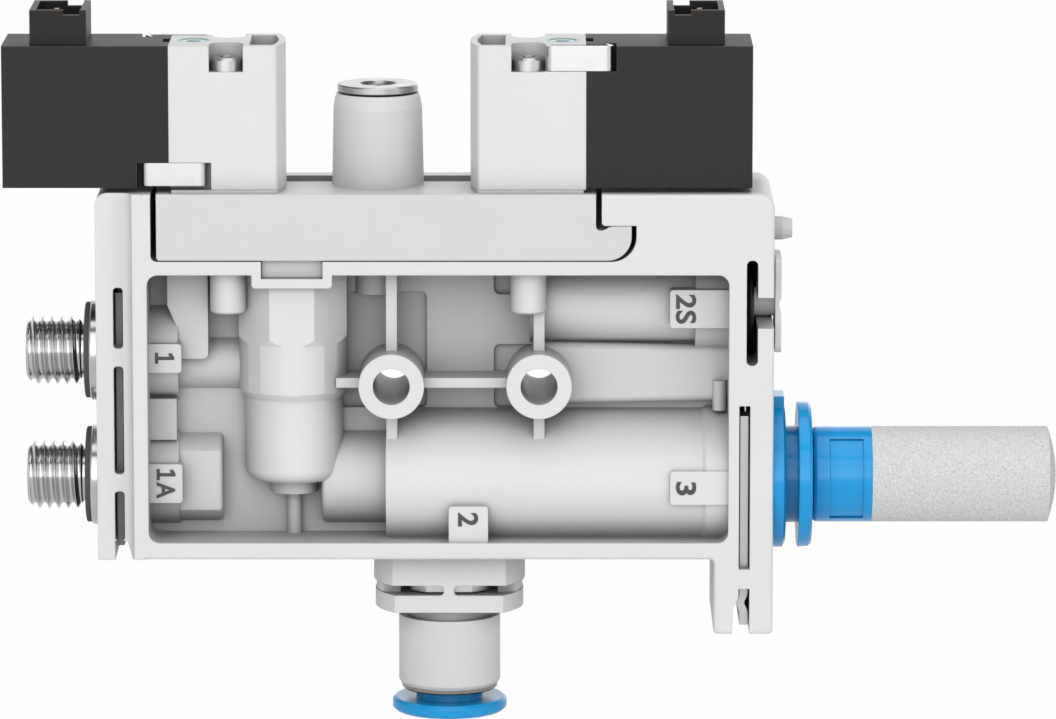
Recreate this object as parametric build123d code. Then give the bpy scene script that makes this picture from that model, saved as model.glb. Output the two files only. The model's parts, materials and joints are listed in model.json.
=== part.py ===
from build123d import *
import math
import os

os.makedirs("parts", exist_ok=True)

# Frame: X to the right, Y into the object from its front face, Z up.
# The origin is midway between the two mounting holes, on the front face.

# Housing
DEPTH = 15.8
MID_Y = DEPTH / 2
FRAME_LEFT = -33.25
FRAME_RIGHT = 30.9
FRAME_BOTTOM = -17.65
FRAME_TOP = 19.45
FRAME_CORNER = 1.5
EDGE_ROUND = 0.35
WALL_LEFT = 1.45
WALL_RIGHT = 4.5
WALL_BOTTOM = 1.7
CEILING_Z = 11.3
BAR_THICK = 1.36
POCKET_CORNER = 1.1
WEB_FRONT = 6.6
BACK_WALL_SHARE = 0.158

# Mounting holes
HOLE_PITCH = 14.8
HOLE_R = 1.85
TUBE_R = 3.28
RIB_THICK = 1.1
CROSS_RIB_THICK = 1.0
CROSS_RIB_LEFT = -13.0
RIB_INSET = 2.35

# Left flange, which carries ports 1 and 1A
FLANGE_REACH = 3.72
FLANGE_INSET = 1.1
FLANGE_ROUND = 1.25
FLANGE_DROP = 0.22
LEFT_SLOT_X = -34.74
SLOT_WIDTH = 0.98
SLOT_SKIN = 1.6
SLOT_CORNER = 0.36
LEFT_SLOT_TOP = 9.6
LEFT_WINDOWS_Z = ((3.69, 9.87), (-9.1, 1.88), (-15.91, -10.85))
PRONG_GAP_TOP = -15.9
PRONG_GAP_W = 1.25
PRONG_GAP_FLARE = 0.6

# Foot below port 3
FOOT_LEFT = 24.95
FOOT_BOTTOM = -25.29
FOOT_CORNER = 0.45
FOOT_SLOT_TOP = -20.63

# Ports
PORT_1_Z = 2.45
EJECTOR_Z = -10.33
PORT_2_X = -1.68
PORT_2S_Z = 7.45

# Chambers and channels inside the pocket
EJECTOR_R = 7.2
EJECTOR_LEFT = -8.0
ENTRY_R = 4.9
ENTRY_LEFT = -14.5
ENTRY_ROUND = 0.5
COLLAR_R = 7.45
COLLAR_LENGTH = 2.55
COLLAR_TAPER = 0.35
CHAMBER_X = -17.33
CHAMBER_R = 5.5
CHAMBER_HEAD_R = 5.9
CHAMBER_HEAD_TAPER = 0.8
CHAMBER_COLLAR_R = 5.75
CHAMBER_COLLAR_BOTTOM = 10.3
CHAMBER_LOW_R = 4.97
CHAMBER_FLATS = 5.43
CHAMBER_HEAD_Z = 4.7
CHAMBER_STEP_Z = -1.0
CHAMBER_STEP_H = 0.8
CHAMBER_BOTTOM = -10.3
CHAMBER_ROUND = 1.3
DRAIN_R = 2.42
DRAIN_H = 1.35
DRAIN_PIN_R = 0.75
CHANNEL_1_R = 2.9
CHANNEL_1_DROP = 1.12
CHANNEL_2S_R = 4.2
CHANNEL_2S_LEFT = 6.45
CHANNEL_2S_COLLAR_R = 5.0
MID_PANEL_FRONT = 4.9
MID_PANEL_LOW = 2.7
MID_PANEL_HIGH = 3.65
MID_PANEL_TAPER = 0.36
MID_PANEL_ROUND = 0.8
PORT_BOSS_R = 4.95
PORT_BOSS_LENGTH = 2.9
PORT_BRIDGE_LENGTH = 2.7
PORT_BRIDGE_FRONT = 4.4
PORT_BRIDGE_LOW = -6.2
PORT_BRIDGE_HIGH = -2.0
BLOCK_1A_R = 4.7
BLOCK_1A_HALF = 3.6
BLOCK_1A_RIGHT = -24.5
BLOCK_1A_ROUND = 0.5
VALVE_PLATE_FRONT = 4.0
VALVE_PLATE_LEFT = -29.95
VALVE_PLATE_RIGHT = -25.85
VALVE_PLATE_BOTTOM = 2.15
VALVE_PLATE_STEP = 0.95
VALVE_PLATE_STEP_TOP = 7.6
VALVE_PLATE_STEP_LOW = 5.4
SCREW_BOSS_R = 1.8
SCREW_BOSS_BOTTOM = 7.15
STUB_R = 2.65
STUB_BOTTOM = 8.45
PIN_R = 0.72
PIN_TOP = -0.15
PIN_BOTTOM = -3.2
PIN_FROM_WALL = 0.8
RECESS_DEEP = 0.6
RECESS_CORNER = 0.6
RECESS_LEFT = 2.86
RECESS_RIGHT = -3.91
RECESS_BOTTOM = -3.22
RECESS_TOP = 8.6
RECESS_HIGH = 8.33

# Port number tags, raised plates with a blank face
TAG_CORNER = 0.35

# Block below the housing that holds the push-in fitting of port 2
BLOCK_R = 7.67
BLOCK_HALF = 5.13
BLOCK_BOTTOM = -23.66
BLOCK_SLOT_TOP = -20.87
BLOCK_SLOT_H = 1.02
BLOCK_LOW_R = 7.5
BLOCK_CORE_R = 7.4
BLOCK_CORE_HALF = 3.1
BLOCK_RING_R = 5.8
BLOCK_BRIDGE_W = 1.03
BLOCK_BRIDGE_T = 0.65
BLOCK_SLOT_ROUND = 0.4

# Locating peg on the right face
PEG_Z = 14.9
PEG_R = 1.18
PEG_TIP_R = 0.95
PEG_LENGTH = 2.0

# Top cover with its hook on the right and its latch tab below
COVER_LEFT = -30.8
COVER_RIGHT = 13.07
COVER_GAP = 0.58
COVER_SEAT = 0.1
COVER_INSET = 0.1
COVER_CORNER = 0.35
HOOK_RIGHT = 16.62
HOOK_TOP = 16.25
HOOK_R = 2.4
HOOK_GAP = 0.5
HOOK_DIP = 0.4
NOSE_R = 0.35
TAB_LEFT = -20.32
TAB_RIGHT = -14.28
TAB_BOTTOM = 10.97
TAB_GAP = 0.05
TAB_THICK = 1.35
TAB_INSET = 0.6
FRAME_LIP = 1.0
LIP_CORNER = 0.4
LIP_BEHIND = 0.6
STRIP_FRONT = 9.1
STRIP_THICK = 0.8
STRIP_MARGIN = 0.5

# Flow-control boss and screw
CONTROL_X = -8.8
CONTROL_TOP_R = 4.45
CONTROL_BASE_R = 4.62
CONTROL_SHOULDER_Z = 27.3
CONTROL_TOP = 28.7
CONTROL_RIM_R = 4.1
CONTROL_FILLET = 0.5
CONTROL_DISC_R = 4.04
CONTROL_DISC_H = 0.76
CONTROL_DISC_GAP = 0.15
CONTROL_RECESS_R = 1.9
CONTROL_RECESS_DEEP = 0.3
CONTROL_SLOT_W = 0.55
CONTROL_SLOT_L = 1.3
CONTROL_SLOT_DEEP = 0.4
CONTROL_STEM_R = 2.0
CONTROL_STEM_BOTTOM = 21.5
CONTROL_NEEDLE_R = 0.8
CONTROL_NEEDLE_BOTTOM = 15.0
CONTROL_FIT = 0.05

# Solenoid valves: U runs from the free end of the valve body to the coil
VALVE_RIGHT_END = 0.53
VALVE_LEFT_END = -17.97
VALVE_FRONT = 1.1
VALVE_DEPTH = 10.0
VALVE_Y = VALVE_FRONT + VALVE_DEPTH / 2
VALVE_TOP = 34.2
BODY_LENGTH = 11.55
BODY_END_BOW = 0.8
BODY_CORNER = 0.4
COIL_LENGTH = 16.6
COIL_BOTTOM = 19.95
GASKET_THICK = 0.3
GASKET_REACH = 0.35
GASKET_SHORT = 0.24
D_POCKET_U = 0.7
D_POCKET_L = 2.8
D_POCKET_HALF = 3.9
D_POCKET_DEEP = 1.5
SCREW_U = 5.8
SCREW_V = 3.4
SCREW_POCKET_R = 1.7
SCREW_SEAT_Z = 31.6
SCREW_HEAD_R = 1.52
SCREW_HEAD_H = 1.35
SCREW_SOCKET_R = 0.75
SCREW_SOCKET_DEEP = 0.7
SCREW_SHANK_R = 0.8
SCREW_TIP_Z = 8.6
SCREW_FIT = 0.05
OVERRIDE_FROM_COIL = 2.35
OVERRIDE_R = 1.68
OVERRIDE_DEEP = 0.7
BUTTON_R = 0.62
BUTTON_LENGTH = 1.5
BUTTON_TRAVEL = 0.6
BUTTON_FIT = 0.05
BUTTON_SET_BACK = 0.05
END_PLUG_R = 2.45
END_PLUG_Z = 26.7
END_PLUG_DEEP = 0.8
END_PLUG_GROOVE = 0.05
CLIP_ON_BODY = 3.98
CLIP_LENGTH = 6.65
CLIP_HEIGHT = 2.5
CLIP_THICK = 0.45
CLIP_LEG = 0.95
CLIP_CORNER = 0.7
CLIP_DEEP = 1.3
CLIP_SIDE_GAP = 0.12
CLIP_COIL_GAP = 0.36
CLIP_HOOK_BACK = 2.05
CLIP_HOOK_IN = 0.5
CLIP_HOOK_THICK = 0.28
HOOK_POCKET_DEEP = 2.6
HOOK_POCKET_IN = 0.84
COIL_PIT_LENGTH = 0.76
COIL_PIT_FRONT = -1.15
COIL_PIT_BACK = 1.6
COIL_PIT_DEEP = 0.8
LOW_CLIP_ON_BODY = 3.77
LOW_CLIP_LENGTH = 6.5
LOW_CLIP_BOTTOM = 20.15
LOW_CLIP_HEIGHT = 2.3
LOW_CLIP_GAP = 0.45
CLIP_TIGHT_GAP = 0.04
SOCKET_FROM_BODY = 8.15
SOCKET_LENGTH = 5.65
SOCKET_WIDTH = 8.4
SOCKET_HEIGHT = 3.5
SOCKET_WALL = 0.6
SOCKET_FLOOR = 0.5
SOCKET_NOTCH_FROM_WALL = 0.65
SOCKET_NOTCH_L = 1.65
SOCKET_NOTCH_DEEP = 0.5
CONTACT_FROM_WALL = 3.25
CONTACT_PITCH = 2.54
CONTACT_SIDE = 0.5
CONTACT_TOP_GAP = 0.45

# Threaded nipples of ports 1 and 1A
THREAD_R = 3.45
THREAD_ROOT_R = 2.88
THREAD_PITCH = 1.0
THREAD_TURNS = 6
THREAD_LENGTH = 5.93
THREAD_TIP_R = 2.75
UNDERCUT_R = 2.75
NIPPLE_FLANGE_R = 5.1
NIPPLE_FLANGE_T = 0.75
NIPPLE_FLANGE_GAP = 0.1
NIPPLE_BORE_R = 2.0
NIPPLE_SHANK_R = 3.75
NIPPLE_GROOVE_R = 2.9
NIPPLE_GROOVE_W = 1.1
NIPPLE_SHANK_END = -29.6
NIPPLE_FIT = 0.05
SEAL_R = 4.85
SEAL_T = 0.55
O_RING_R = 0.45
O_RING_X = -31.5

# Flat clips that lock the fittings
FORK_THICK = 0.7
FORK_SKIN = 0.45
LEFT_FORK_TOP = 9.1
LEFT_FORK_BOTTOM = -16.7
LEFT_FORK_WEB = 2.4
FORK_FIT = 0.08

# Push-in fitting of port 2
TUBE_BORE_R = 3.05
FITTING_R = 5.14
FITTING_TOP = -24.61
FITTING_BOTTOM = -31.79
FITTING_CHAMFER = 0.22
FITTING_CHAMFER_H = 0.37
FITTING_NECK_R = 4.3
FITTING_GROOVE_R = 3.6
FITTING_SHANK_TOP = -15.6
FITTING_FIT = 0.1
FITTING_SOCKET_R = 3.62
FITTING_SOCKET_TOP = -25.6
FITTING_STOP_Z = -23.2
FITTING_FLOW_R = 2.2
CAP_RING_R = 4.85
CAP_RING_H = 0.5
CAP_RING_LIP = 0.9
CAP_RING_SINK = 1.0
RELEASE_R = 5.8
RELEASE_TOP = -33.26
RELEASE_H = 1.3
RELEASE_NECK_R = 3.4
RELEASE_NECK_TOP = -28.7
RELEASE_ROUND = 0.3
RELEASE_TRAVEL = 0.8
GRIP_TOP = -27.3
GRIP_H = 0.4
GRIP_INNER_R = 3.12
TUBE_SEAL_H = 1.1
TUBE_SEAL_GAP = 0.1
BLOCK_FORK_GAP = 0.12
FITTING_CLIP_OPEN = 5.0
FITTING_CLIP_R = 4.97

# Exhaust cartridge of port 3
CARTRIDGE_R = 6.0
CARTRIDGE_LEFT = 23.8
CARTRIDGE_FIT = 0.08
CARTRIDGE_GROOVE_R = 5.55
CARTRIDGE_BORE_R = 5.02
CARTRIDGE_STOP_X = 26.0
CARTRIDGE_FLANGE_R = 7.4
CARTRIDGE_FLANGE_T = 1.36
CARTRIDGE_FLANGE_ROUND = 0.25
CARTRIDGE_TAB_HALF = 1.8
CARTRIDGE_TAB_TOP = -2.05
CARTRIDGE_TAB_T = 1.25
EXHAUST_TUBE_R = 4.0
EXHAUST_RING_X = 33.54
EXHAUST_RING_T = 1.36
EXHAUST_RING_R = 7.38
EXHAUST_RING_ROUND = 0.3
EXHAUST_NECK_R = 4.9
EXHAUST_NECK_LEFT = 28.6
EXHAUST_TRAVEL = 0.7
RIGHT_SLOT_X = 28.01
RIGHT_SLOT_W = 1.1
RIGHT_SLOT_TOP = -1.97
RIGHT_SLOT_BOTTOM = -18.65
RIGHT_SLOT_SKIN = 1.4
RIGHT_FORK_TOP = -2.5
RIGHT_FORK_BOTTOM = -24.6
RIGHT_FORK_WEB = 6.0
RIGHT_FORK_THICK = 0.84
RIGHT_FORK_BEVEL = 1.5
SNAP_BULGE = 0.55
SNAP_FLARE = 0.12
SNAP_Z = -22.35
SNAP_HALF = 1.15

# Silencer
HOLDER_LEFT = 35.04
HOLDER_RIGHT = 41.05
HOLDER_R = 4.83
HOLDER_ROUND = 0.4
HOLDER_STEM_LEFT = 27.2
HOLDER_STEM_R = 3.95
HOLDER_FLOW_R = 2.4
SPIGOT_FIT = 0.03
HOLDER_SPIGOT_LENGTH = 3.0
HOLDER_FIELD_LEFT = 36.75
HOLDER_FIELD_RIGHT = 40.15
HOLDER_FIELD_HALF = 4.05
HOLDER_FIELD_DEEP = 0.15
SILENCER_RIGHT = 58.9
SILENCER_DOME = 0.85
SILENCER_WALL = 1.7
SILENCER_END_WALL = 2.0

# Plug of port 2S, slid in from the front
PLUG_SLOT_LEFT = 28.14
PLUG_SLOT_W = 1.14
PLUG_SLOT_R = 5.33
PLUG_WINDOW_HALF = 1.56
PLUG_DISC_R = 5.25
PLUG_DISC_T = 0.5
PLUG_SEAL_R = 0.27
PLUG_STUD_R = 1.5
PLUG_PLATE_X = 31.15
PLUG_PLATE_T = 0.62
PLUG_PLATE_H = 9.7
PLUG_PLATE_W = 6.4
PLUG_NOTCH_H = 1.2
PLUG_NOTCH_DEEP = 0.3

# Ejector cartridge pieces in the main bore
EJECTOR_BORE_R = 4.0
EJECTOR_BORE_LEFT = -13.2
JET_LENGTH = 7.0
JET_THROAT_R = 0.35
JET_EXIT_R = 0.55
JET_INLET_R = 2.2
NOZZLE_FIT = 0.05
SUCTION_GAP = 6.5
RECEIVER_THROAT_R = 0.75
RECEIVER_EXIT_R = 1.6
RECEIVER_INLET_R = 1.5
RECEIVER_RIGHT = 23.4
RECEIVER_SHOULDER = 3.0
RECEIVER_WAIST_R = 2.6

# Check valve in the vertical chamber
CHECK_BORE_R = 3.4
CHECK_BORE_BOTTOM = -8.0
CHECK_SEAT_TOP = -3.6
CHECK_SEAT_H = 1.4
CHECK_SEAT_BORE_R = 1.5
CHECK_SEAT_RIM = 0.5
CHECK_DISC_R = 2.6
CHECK_DISC_H = 0.8
CHECK_DISC_GAP = 0.05
CHECK_TRAVEL = 0.7
CHECK_PASSAGE_R = 1.1
CROSS_PASSAGE_R = 0.6
CROSS_PASSAGE_X = 14.0

# Sizes that follow from the ones above
WEB_BACK = DEPTH - WEB_FRONT
BACK_WALL = BACK_WALL_SHARE * DEPTH
FLANGE_LEFT = FRAME_LEFT - FLANGE_REACH
FLANGE_BOTTOM = FRAME_BOTTOM - FLANGE_DROP
SEAL_LEFT = FLANGE_LEFT - NIPPLE_FLANGE_GAP - NIPPLE_FLANGE_T - SEAL_T
THREAD_TIP_X = SEAL_LEFT - THREAD_LENGTH
CHAMBER_Y = VALVE_Y
POCKET_LEFT = FRAME_LEFT + WALL_LEFT
POCKET_RIGHT = FRAME_RIGHT - WALL_RIGHT
POCKET_BOTTOM = FRAME_BOTTOM + WALL_BOTTOM
BAR_TOP = CEILING_Z + BAR_THICK
COVER_BOTTOM = BAR_TOP + COVER_SEAT
COVER_BACK = DEPTH - BACK_WALL - COVER_SEAT
BODY_BOTTOM = FRAME_TOP + GASKET_THICK
COIL_U = BODY_LENGTH
OVERRIDE_U = BODY_LENGTH - OVERRIDE_FROM_COIL
CLIP_U = BODY_LENGTH - CLIP_ON_BODY
LOW_CLIP_U = BODY_LENGTH - LOW_CLIP_ON_BODY
SOCKET_U = COIL_U + SOCKET_FROM_BODY
SOCKET_NOTCH_U = SOCKET_U + SOCKET_NOTCH_FROM_WALL
CONTACT_U = SOCKET_U + CONTACT_FROM_WALL
HOLDER_SPIGOT_R = HOLDER_R - SILENCER_WALL - SPIGOT_FIT
COIL_END_U = BODY_LENGTH + COIL_LENGTH
SOCKET_TOP = VALVE_TOP + SOCKET_HEIGHT
PAST = 1.0


def slab(x0, x1, y0, y1, z0, z1):
    """Return a block between two corners."""
    centre = Pos((x0 + x1) / 2, (y0 + y1) / 2, (z0 + z1) / 2)
    return centre * Box(x1 - x0, y1 - y0, z1 - z0)


def rod_x(radius, x0, x1, y, z):
    """Return a cylinder that runs along X."""
    return Pos((x0 + x1) / 2, y, z) * Rot(0, 90, 0) * Cylinder(radius, x1 - x0)


def rod_y(radius, y0, y1, x, z):
    """Return a cylinder that runs along Y."""
    return Pos(x, (y0 + y1) / 2, z) * Rot(90, 0, 0) * Cylinder(radius, y1 - y0)


def rod_z(radius, z0, z1, x, y):
    """Return a cylinder that runs along Z."""
    return Pos(x, y, (z0 + z1) / 2) * Cylinder(radius, z1 - z0)


def front_plate(sketch, y0, y1):
    """Return an XZ sketch made solid from depth y0 to depth y1."""
    return Pos(0, y0, 0) * extrude(Plane.XZ * sketch, -(y1 - y0))


def round_rect(x0, x1, z0, z1, radius):
    """Return a rectangle with rounded corners as an XZ sketch."""
    return Pos((x0 + x1) / 2, (z0 + z1) / 2) * RectangleRounded(x1 - x0, z1 - z0, radius)


def turned_x(points, y, z):
    """Return a solid turned about X from (x, radius) points."""
    face = make_face(Plane.XZ * Polyline(*points, close=True))
    return Pos(0, y, z) * revolve(face, Axis.X)


def turned_z(points, x, y):
    """Return a solid turned about Z from (radius, z) points."""
    face = make_face(Plane.XZ * Polyline(*points, close=True))
    return Pos(x, y, 0) * revolve(face, Axis.Z)


def ring_x(tube_radius, radius, x, y, z):
    """Return a round ring whose axis runs along X."""
    return Pos(x, y, z) * Rot(0, 90, 0) * Torus(radius, tube_radius)


def edges_at_depth(part, y):
    """Return the edges of a part that lie at one depth."""
    return part.edges().filter_by_position(Axis.Y, y, y)


def cover_outline(grow):
    """Return the outline of the cover, or of its seat when grown by its gaps."""
    gap = COVER_GAP if grow else 0.0
    seat = COVER_SEAT if grow else 0.0
    lift = PAST if grow else 0.0
    left, right = COVER_LEFT - gap, COVER_RIGHT + gap
    bottom, top = COVER_BOTTOM - seat, FRAME_TOP + lift
    tip = HOOK_RIGHT + (HOOK_GAP if grow else 0.0)
    under = HOOK_TOP + (0.05 if grow else 0.0)
    bend = HOOK_R + seat
    soft = COVER_CORNER + (gap - seat) / 2
    outer = [
        Line((left, top), (left, bottom + soft)),
        RadiusArc((left, bottom + soft), (left + soft, bottom), -soft),
        Line((left + soft, bottom), (tip - bend, bottom)),
        RadiusArc((tip - bend, bottom), (tip, bottom + bend), -bend),
        Line((tip, bottom + bend), (tip, under)),
    ]
    if grow:
        inner = [
            Line((tip, under), (right + NOSE_R, under)),
            RadiusArc((right + NOSE_R, under), (right, under + NOSE_R), NOSE_R),
            Line((right, under + NOSE_R), (right, top)),
        ]
    else:
        dip_end = right + COVER_GAP + 1.3
        inner = [
            Line((tip, under), (dip_end, under)),
            Spline(
                (dip_end, under),
                (right + COVER_GAP + 0.2, under - HOOK_DIP),
                (right, under),
                tangents=((-1, 0), (0, 1)),
            ),
            Line((right, under), (right, top)),
        ]
    return make_face([*outer, *inner, Line((right, top), (left, top))])


def chamber_solid():
    """Return the check-valve chamber: flatted head, waist, round bottom and drain."""
    low = CHAMBER_STEP_Z - CHAMBER_STEP_H
    top = CEILING_Z + 0.5
    shaft = turned_z(
        [
            (0, top),
            (CHAMBER_HEAD_R, top),
            (CHAMBER_HEAD_R, CHAMBER_HEAD_Z),
            (CHAMBER_R, CHAMBER_HEAD_Z - CHAMBER_HEAD_TAPER),
            (CHAMBER_R, CHAMBER_STEP_Z),
            (CHAMBER_LOW_R, low),
            (CHAMBER_LOW_R, CHAMBER_BOTTOM),
            (0, CHAMBER_BOTTOM),
        ],
        CHAMBER_X,
        CHAMBER_Y,
    )
    lowest = shaft.edges().filter_by(GeomType.CIRCLE).group_by(Axis.Z)[0]
    shaft = fillet(lowest, CHAMBER_ROUND)
    prism = Pos(CHAMBER_X, CHAMBER_Y, CHAMBER_BOTTOM - 1) * Rot(0, 0, 22.5) * extrude(
        RegularPolygon(CHAMBER_FLATS, 8, major_radius=False), top - CHAMBER_BOTTOM + 2
    )
    collar = rod_z(CHAMBER_COLLAR_R, CHAMBER_COLLAR_BOTTOM, top, CHAMBER_X, CHAMBER_Y)
    drain = rod_z(DRAIN_R, CHAMBER_BOTTOM - DRAIN_H, CHAMBER_BOTTOM + 1, CHAMBER_X, CHAMBER_Y)
    stay = rod_z(DRAIN_PIN_R, POCKET_BOTTOM - 0.5, CHAMBER_BOTTOM, CHAMBER_X, CHAMBER_Y)
    return (shaft & prism) + collar + drain + stay


def tag_solids():
    """Return the raised tags that carry the port numbers."""
    tags = [
        (POCKET_LEFT - 0.5, -28.49, 2.3, PORT_1_Z - 1.45, PORT_1_Z + 1.5),
        (POCKET_LEFT - 0.5, -28.47, 2.3, EJECTOR_Z - 1.95, EJECTOR_Z + 2.02),
        (20.52, POCKET_RIGHT + 0.5, 2.4, PORT_2S_Z - 1.9, PORT_2S_Z + 1.98),
        (20.54, POCKET_RIGHT + 0.5, MID_Y - COLLAR_R, EJECTOR_Z - 1.8, EJECTOR_Z + 1.65),
        (PORT_2_X, PORT_2_X + 3.96, 0.4, POCKET_BOTTOM - 0.6, EJECTOR_Z - 1.94),
    ]
    solids = []
    for x0, x1, front, z0, z1 in tags:
        solids.append(front_plate(round_rect(x0, x1, z0, z1, TAG_CORNER), front, WEB_FRONT))
    return solids


def web_recesses():
    """Return the shallow recesses of the web, cut from its front and its back."""
    outlines = [
        round_rect(CHAMBER_X, RECESS_RIGHT, RECESS_BOTTOM, RECESS_TOP, RECESS_CORNER),
        round_rect(RECESS_LEFT, HOLE_PITCH / 2, RECESS_BOTTOM, -RECESS_BOTTOM, RECESS_CORNER),
        round_rect(RECESS_LEFT, HOLE_PITCH / 2, RECESS_HIGH, CEILING_Z + 1, RECESS_CORNER),
    ]
    cuts = []
    for outline in outlines:
        cuts.append(front_plate(outline, WEB_FRONT - 1, WEB_FRONT + RECESS_DEEP))
        cuts.append(front_plate(outline, WEB_BACK - RECESS_DEEP, WEB_BACK + 1))
    return cuts


def mid_panel():
    """Return the tapered flat panel between port 2S and the ejector cylinder."""
    left, right = HOLE_PITCH / 2, POCKET_RIGHT + 0.5
    outline = make_face(
        Polyline(
            (left, -MID_PANEL_LOW),
            (right, MID_PANEL_TAPER - MID_PANEL_LOW),
            (right, MID_PANEL_HIGH - MID_PANEL_TAPER),
            (left, MID_PANEL_HIGH),
            close=True,
        )
    )
    panel = front_plate(outline, MID_PANEL_FRONT, DEPTH - MID_PANEL_FRONT)
    rims = panel.edges().filter_by(lambda e: abs(e.center().X - (left + right) / 2) < 1)
    return fillet(rims, MID_PANEL_ROUND)


def left_forms():
    """Return the bosses, the bridge, the block and the valve plate at the left wall."""
    left = POCKET_LEFT - 0.5
    forms = []
    for port_z in (PORT_1_Z, EJECTOR_Z):
        boss_right = POCKET_LEFT + PORT_BOSS_LENGTH
        forms.append(rod_x(PORT_BOSS_R, left, boss_right, MID_Y, port_z))
    bridge_right = POCKET_LEFT + PORT_BRIDGE_LENGTH
    y0, y1 = PORT_BRIDGE_FRONT, DEPTH - PORT_BRIDGE_FRONT
    forms.append(slab(left, bridge_right, y0, y1, PORT_BRIDGE_LOW, PORT_BRIDGE_HIGH))
    block_front, block_back = MID_Y - BLOCK_1A_HALF, MID_Y + BLOCK_1A_HALF
    block = rod_x(BLOCK_1A_R, POCKET_LEFT, BLOCK_1A_RIGHT, MID_Y, EJECTOR_Z)
    block = block & slab(POCKET_LEFT, BLOCK_1A_RIGHT, block_front, block_back, -20, 0)
    forms.append(fillet(block.faces().sort_by(Axis.X)[-1].edges(), BLOCK_1A_ROUND))
    x0, x1, z0 = VALVE_PLATE_LEFT, VALVE_PLATE_RIGHT, VALVE_PLATE_BOTTOM
    waist = x0 + VALVE_PLATE_STEP
    plate_outline = make_face(
        Polyline(
            (x0, CEILING_Z + 0.5),
            (x0, VALVE_PLATE_STEP_TOP),
            (waist, VALVE_PLATE_STEP_LOW),
            (waist, z0),
            (x1, z0),
            (x1, CEILING_Z + 0.5),
            close=True,
        )
    )
    low_right = [v for v in plate_outline.vertices() if v.X > x1 - 0.1 and v.Y < z0 + 0.1]
    plate_outline = fillet(low_right, RECESS_CORNER)
    forms.append(front_plate(plate_outline, VALVE_PLATE_FRONT, DEPTH - VALVE_PLATE_FRONT))
    return forms


def pocket_forms():
    """Return everything that stands in the front and back pockets of the housing."""
    rib_front, rib_back = RIB_INSET, DEPTH - RIB_INSET
    half_rib, half_cross = RIB_THICK / 2, CROSS_RIB_THICK / 2
    forms = [chamber_solid()]
    for side in (-1, 1):
        x = side * HOLE_PITCH / 2
        forms.append(rod_y(TUBE_R, 0, DEPTH, x, 0))
        ceiling, foot = CEILING_Z + 0.5, EJECTOR_Z + ENTRY_R - 1
        forms.append(slab(x - half_rib, x + half_rib, rib_front, rib_back, foot, ceiling))
        boss_y = VALVE_Y + side * SCREW_V
        for boss_x in (VALVE_LEFT_END - SCREW_U, VALVE_RIGHT_END + SCREW_U):
            boss = rod_z(SCREW_BOSS_R, SCREW_BOSS_BOTTOM, CEILING_Z + 0.5, boss_x, boss_y)
            forms.append(fillet(boss.edges().group_by(Axis.Z)[0], 0.4))
    collar_left = POCKET_RIGHT - COLLAR_LENGTH
    wall = POCKET_RIGHT + 0.5
    collar = turned_x(
        [
            (collar_left, 0),
            (collar_left, EJECTOR_R),
            (collar_left + COLLAR_TAPER, COLLAR_R),
            (wall, COLLAR_R),
            (wall, 0),
        ],
        MID_Y,
        EJECTOR_Z,
    )
    entry = rod_x(ENTRY_R, ENTRY_LEFT, EJECTOR_LEFT + 0.5, MID_Y, EJECTOR_Z)
    entry = fillet(entry.edges().group_by(Axis.X)[0], ENTRY_ROUND)
    half_pitch = HOLE_PITCH / 2
    forms += [
        slab(CROSS_RIB_LEFT, half_pitch, rib_front, rib_back, -half_cross, half_cross),
        rod_x(EJECTOR_R, EJECTOR_LEFT, wall, MID_Y, EJECTOR_Z),
        collar,
        entry,
        rod_x(CHANNEL_1_R, POCKET_LEFT - 0.5, CHAMBER_X, MID_Y, PORT_1_Z - CHANNEL_1_DROP),
        rod_x(CHANNEL_2S_R, CHANNEL_2S_LEFT, wall, MID_Y, PORT_2S_Z),
        rod_x(CHANNEL_2S_COLLAR_R, POCKET_RIGHT - 3.3, wall, MID_Y, PORT_2S_Z),
        mid_panel(),
        rod_z(STUB_R, STUB_BOTTOM, CEILING_Z + 0.5, CONTROL_X, MID_Y),
        rod_z(PIN_R, PIN_BOTTOM, PIN_TOP, POCKET_RIGHT - PIN_FROM_WALL, MID_PANEL_FRONT),
    ]
    return forms + left_forms() + tag_solids()


def port_block():
    """Return the block below the housing, flatted front and back, without its bore."""
    x, top = PORT_2_X, FRAME_BOTTOM + 1
    slot_bottom = BLOCK_SLOT_TOP - BLOCK_SLOT_H
    block = rod_z(BLOCK_R, slot_bottom, top, x, MID_Y)
    block = block + rod_z(BLOCK_LOW_R, BLOCK_BOTTOM, slot_bottom, x, MID_Y)
    front, back = MID_Y - BLOCK_HALF, MID_Y + BLOCK_HALF
    left, right = x - BLOCK_R, x + BLOCK_R
    block = block & slab(left, right, front, back, BLOCK_BOTTOM, top)
    core = rod_z(BLOCK_CORE_R, slot_bottom, BLOCK_SLOT_TOP, x, MID_Y)
    y0, y1 = MID_Y - BLOCK_CORE_HALF, MID_Y + BLOCK_CORE_HALF
    core = core & slab(left, right, y0, y1, slot_bottom, BLOCK_SLOT_TOP)
    slot = slab(left, right, front, back, slot_bottom, BLOCK_SLOT_TOP) - core
    slot = slot + rod_z(BLOCK_RING_R, slot_bottom, BLOCK_SLOT_TOP, x, MID_Y)
    half, reach = BLOCK_BRIDGE_W / 2, BLOCK_BRIDGE_W / 2 + BLOCK_SLOT_H
    bridge = Pos(x, slot_bottom + BLOCK_SLOT_H / 2) * Rectangle(2 * reach, BLOCK_SLOT_H)
    bridge -= round_rect(x + half, x + 2 * reach, slot_bottom, BLOCK_SLOT_TOP, BLOCK_SLOT_ROUND)
    bridge -= round_rect(x - 2 * reach, x - half, slot_bottom, BLOCK_SLOT_TOP, BLOCK_SLOT_ROUND)
    for y0 in (front, back - BLOCK_BRIDGE_T):
        slot = slot - front_plate(bridge, y0, y0 + BLOCK_BRIDGE_T)
    return block - slot


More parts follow.
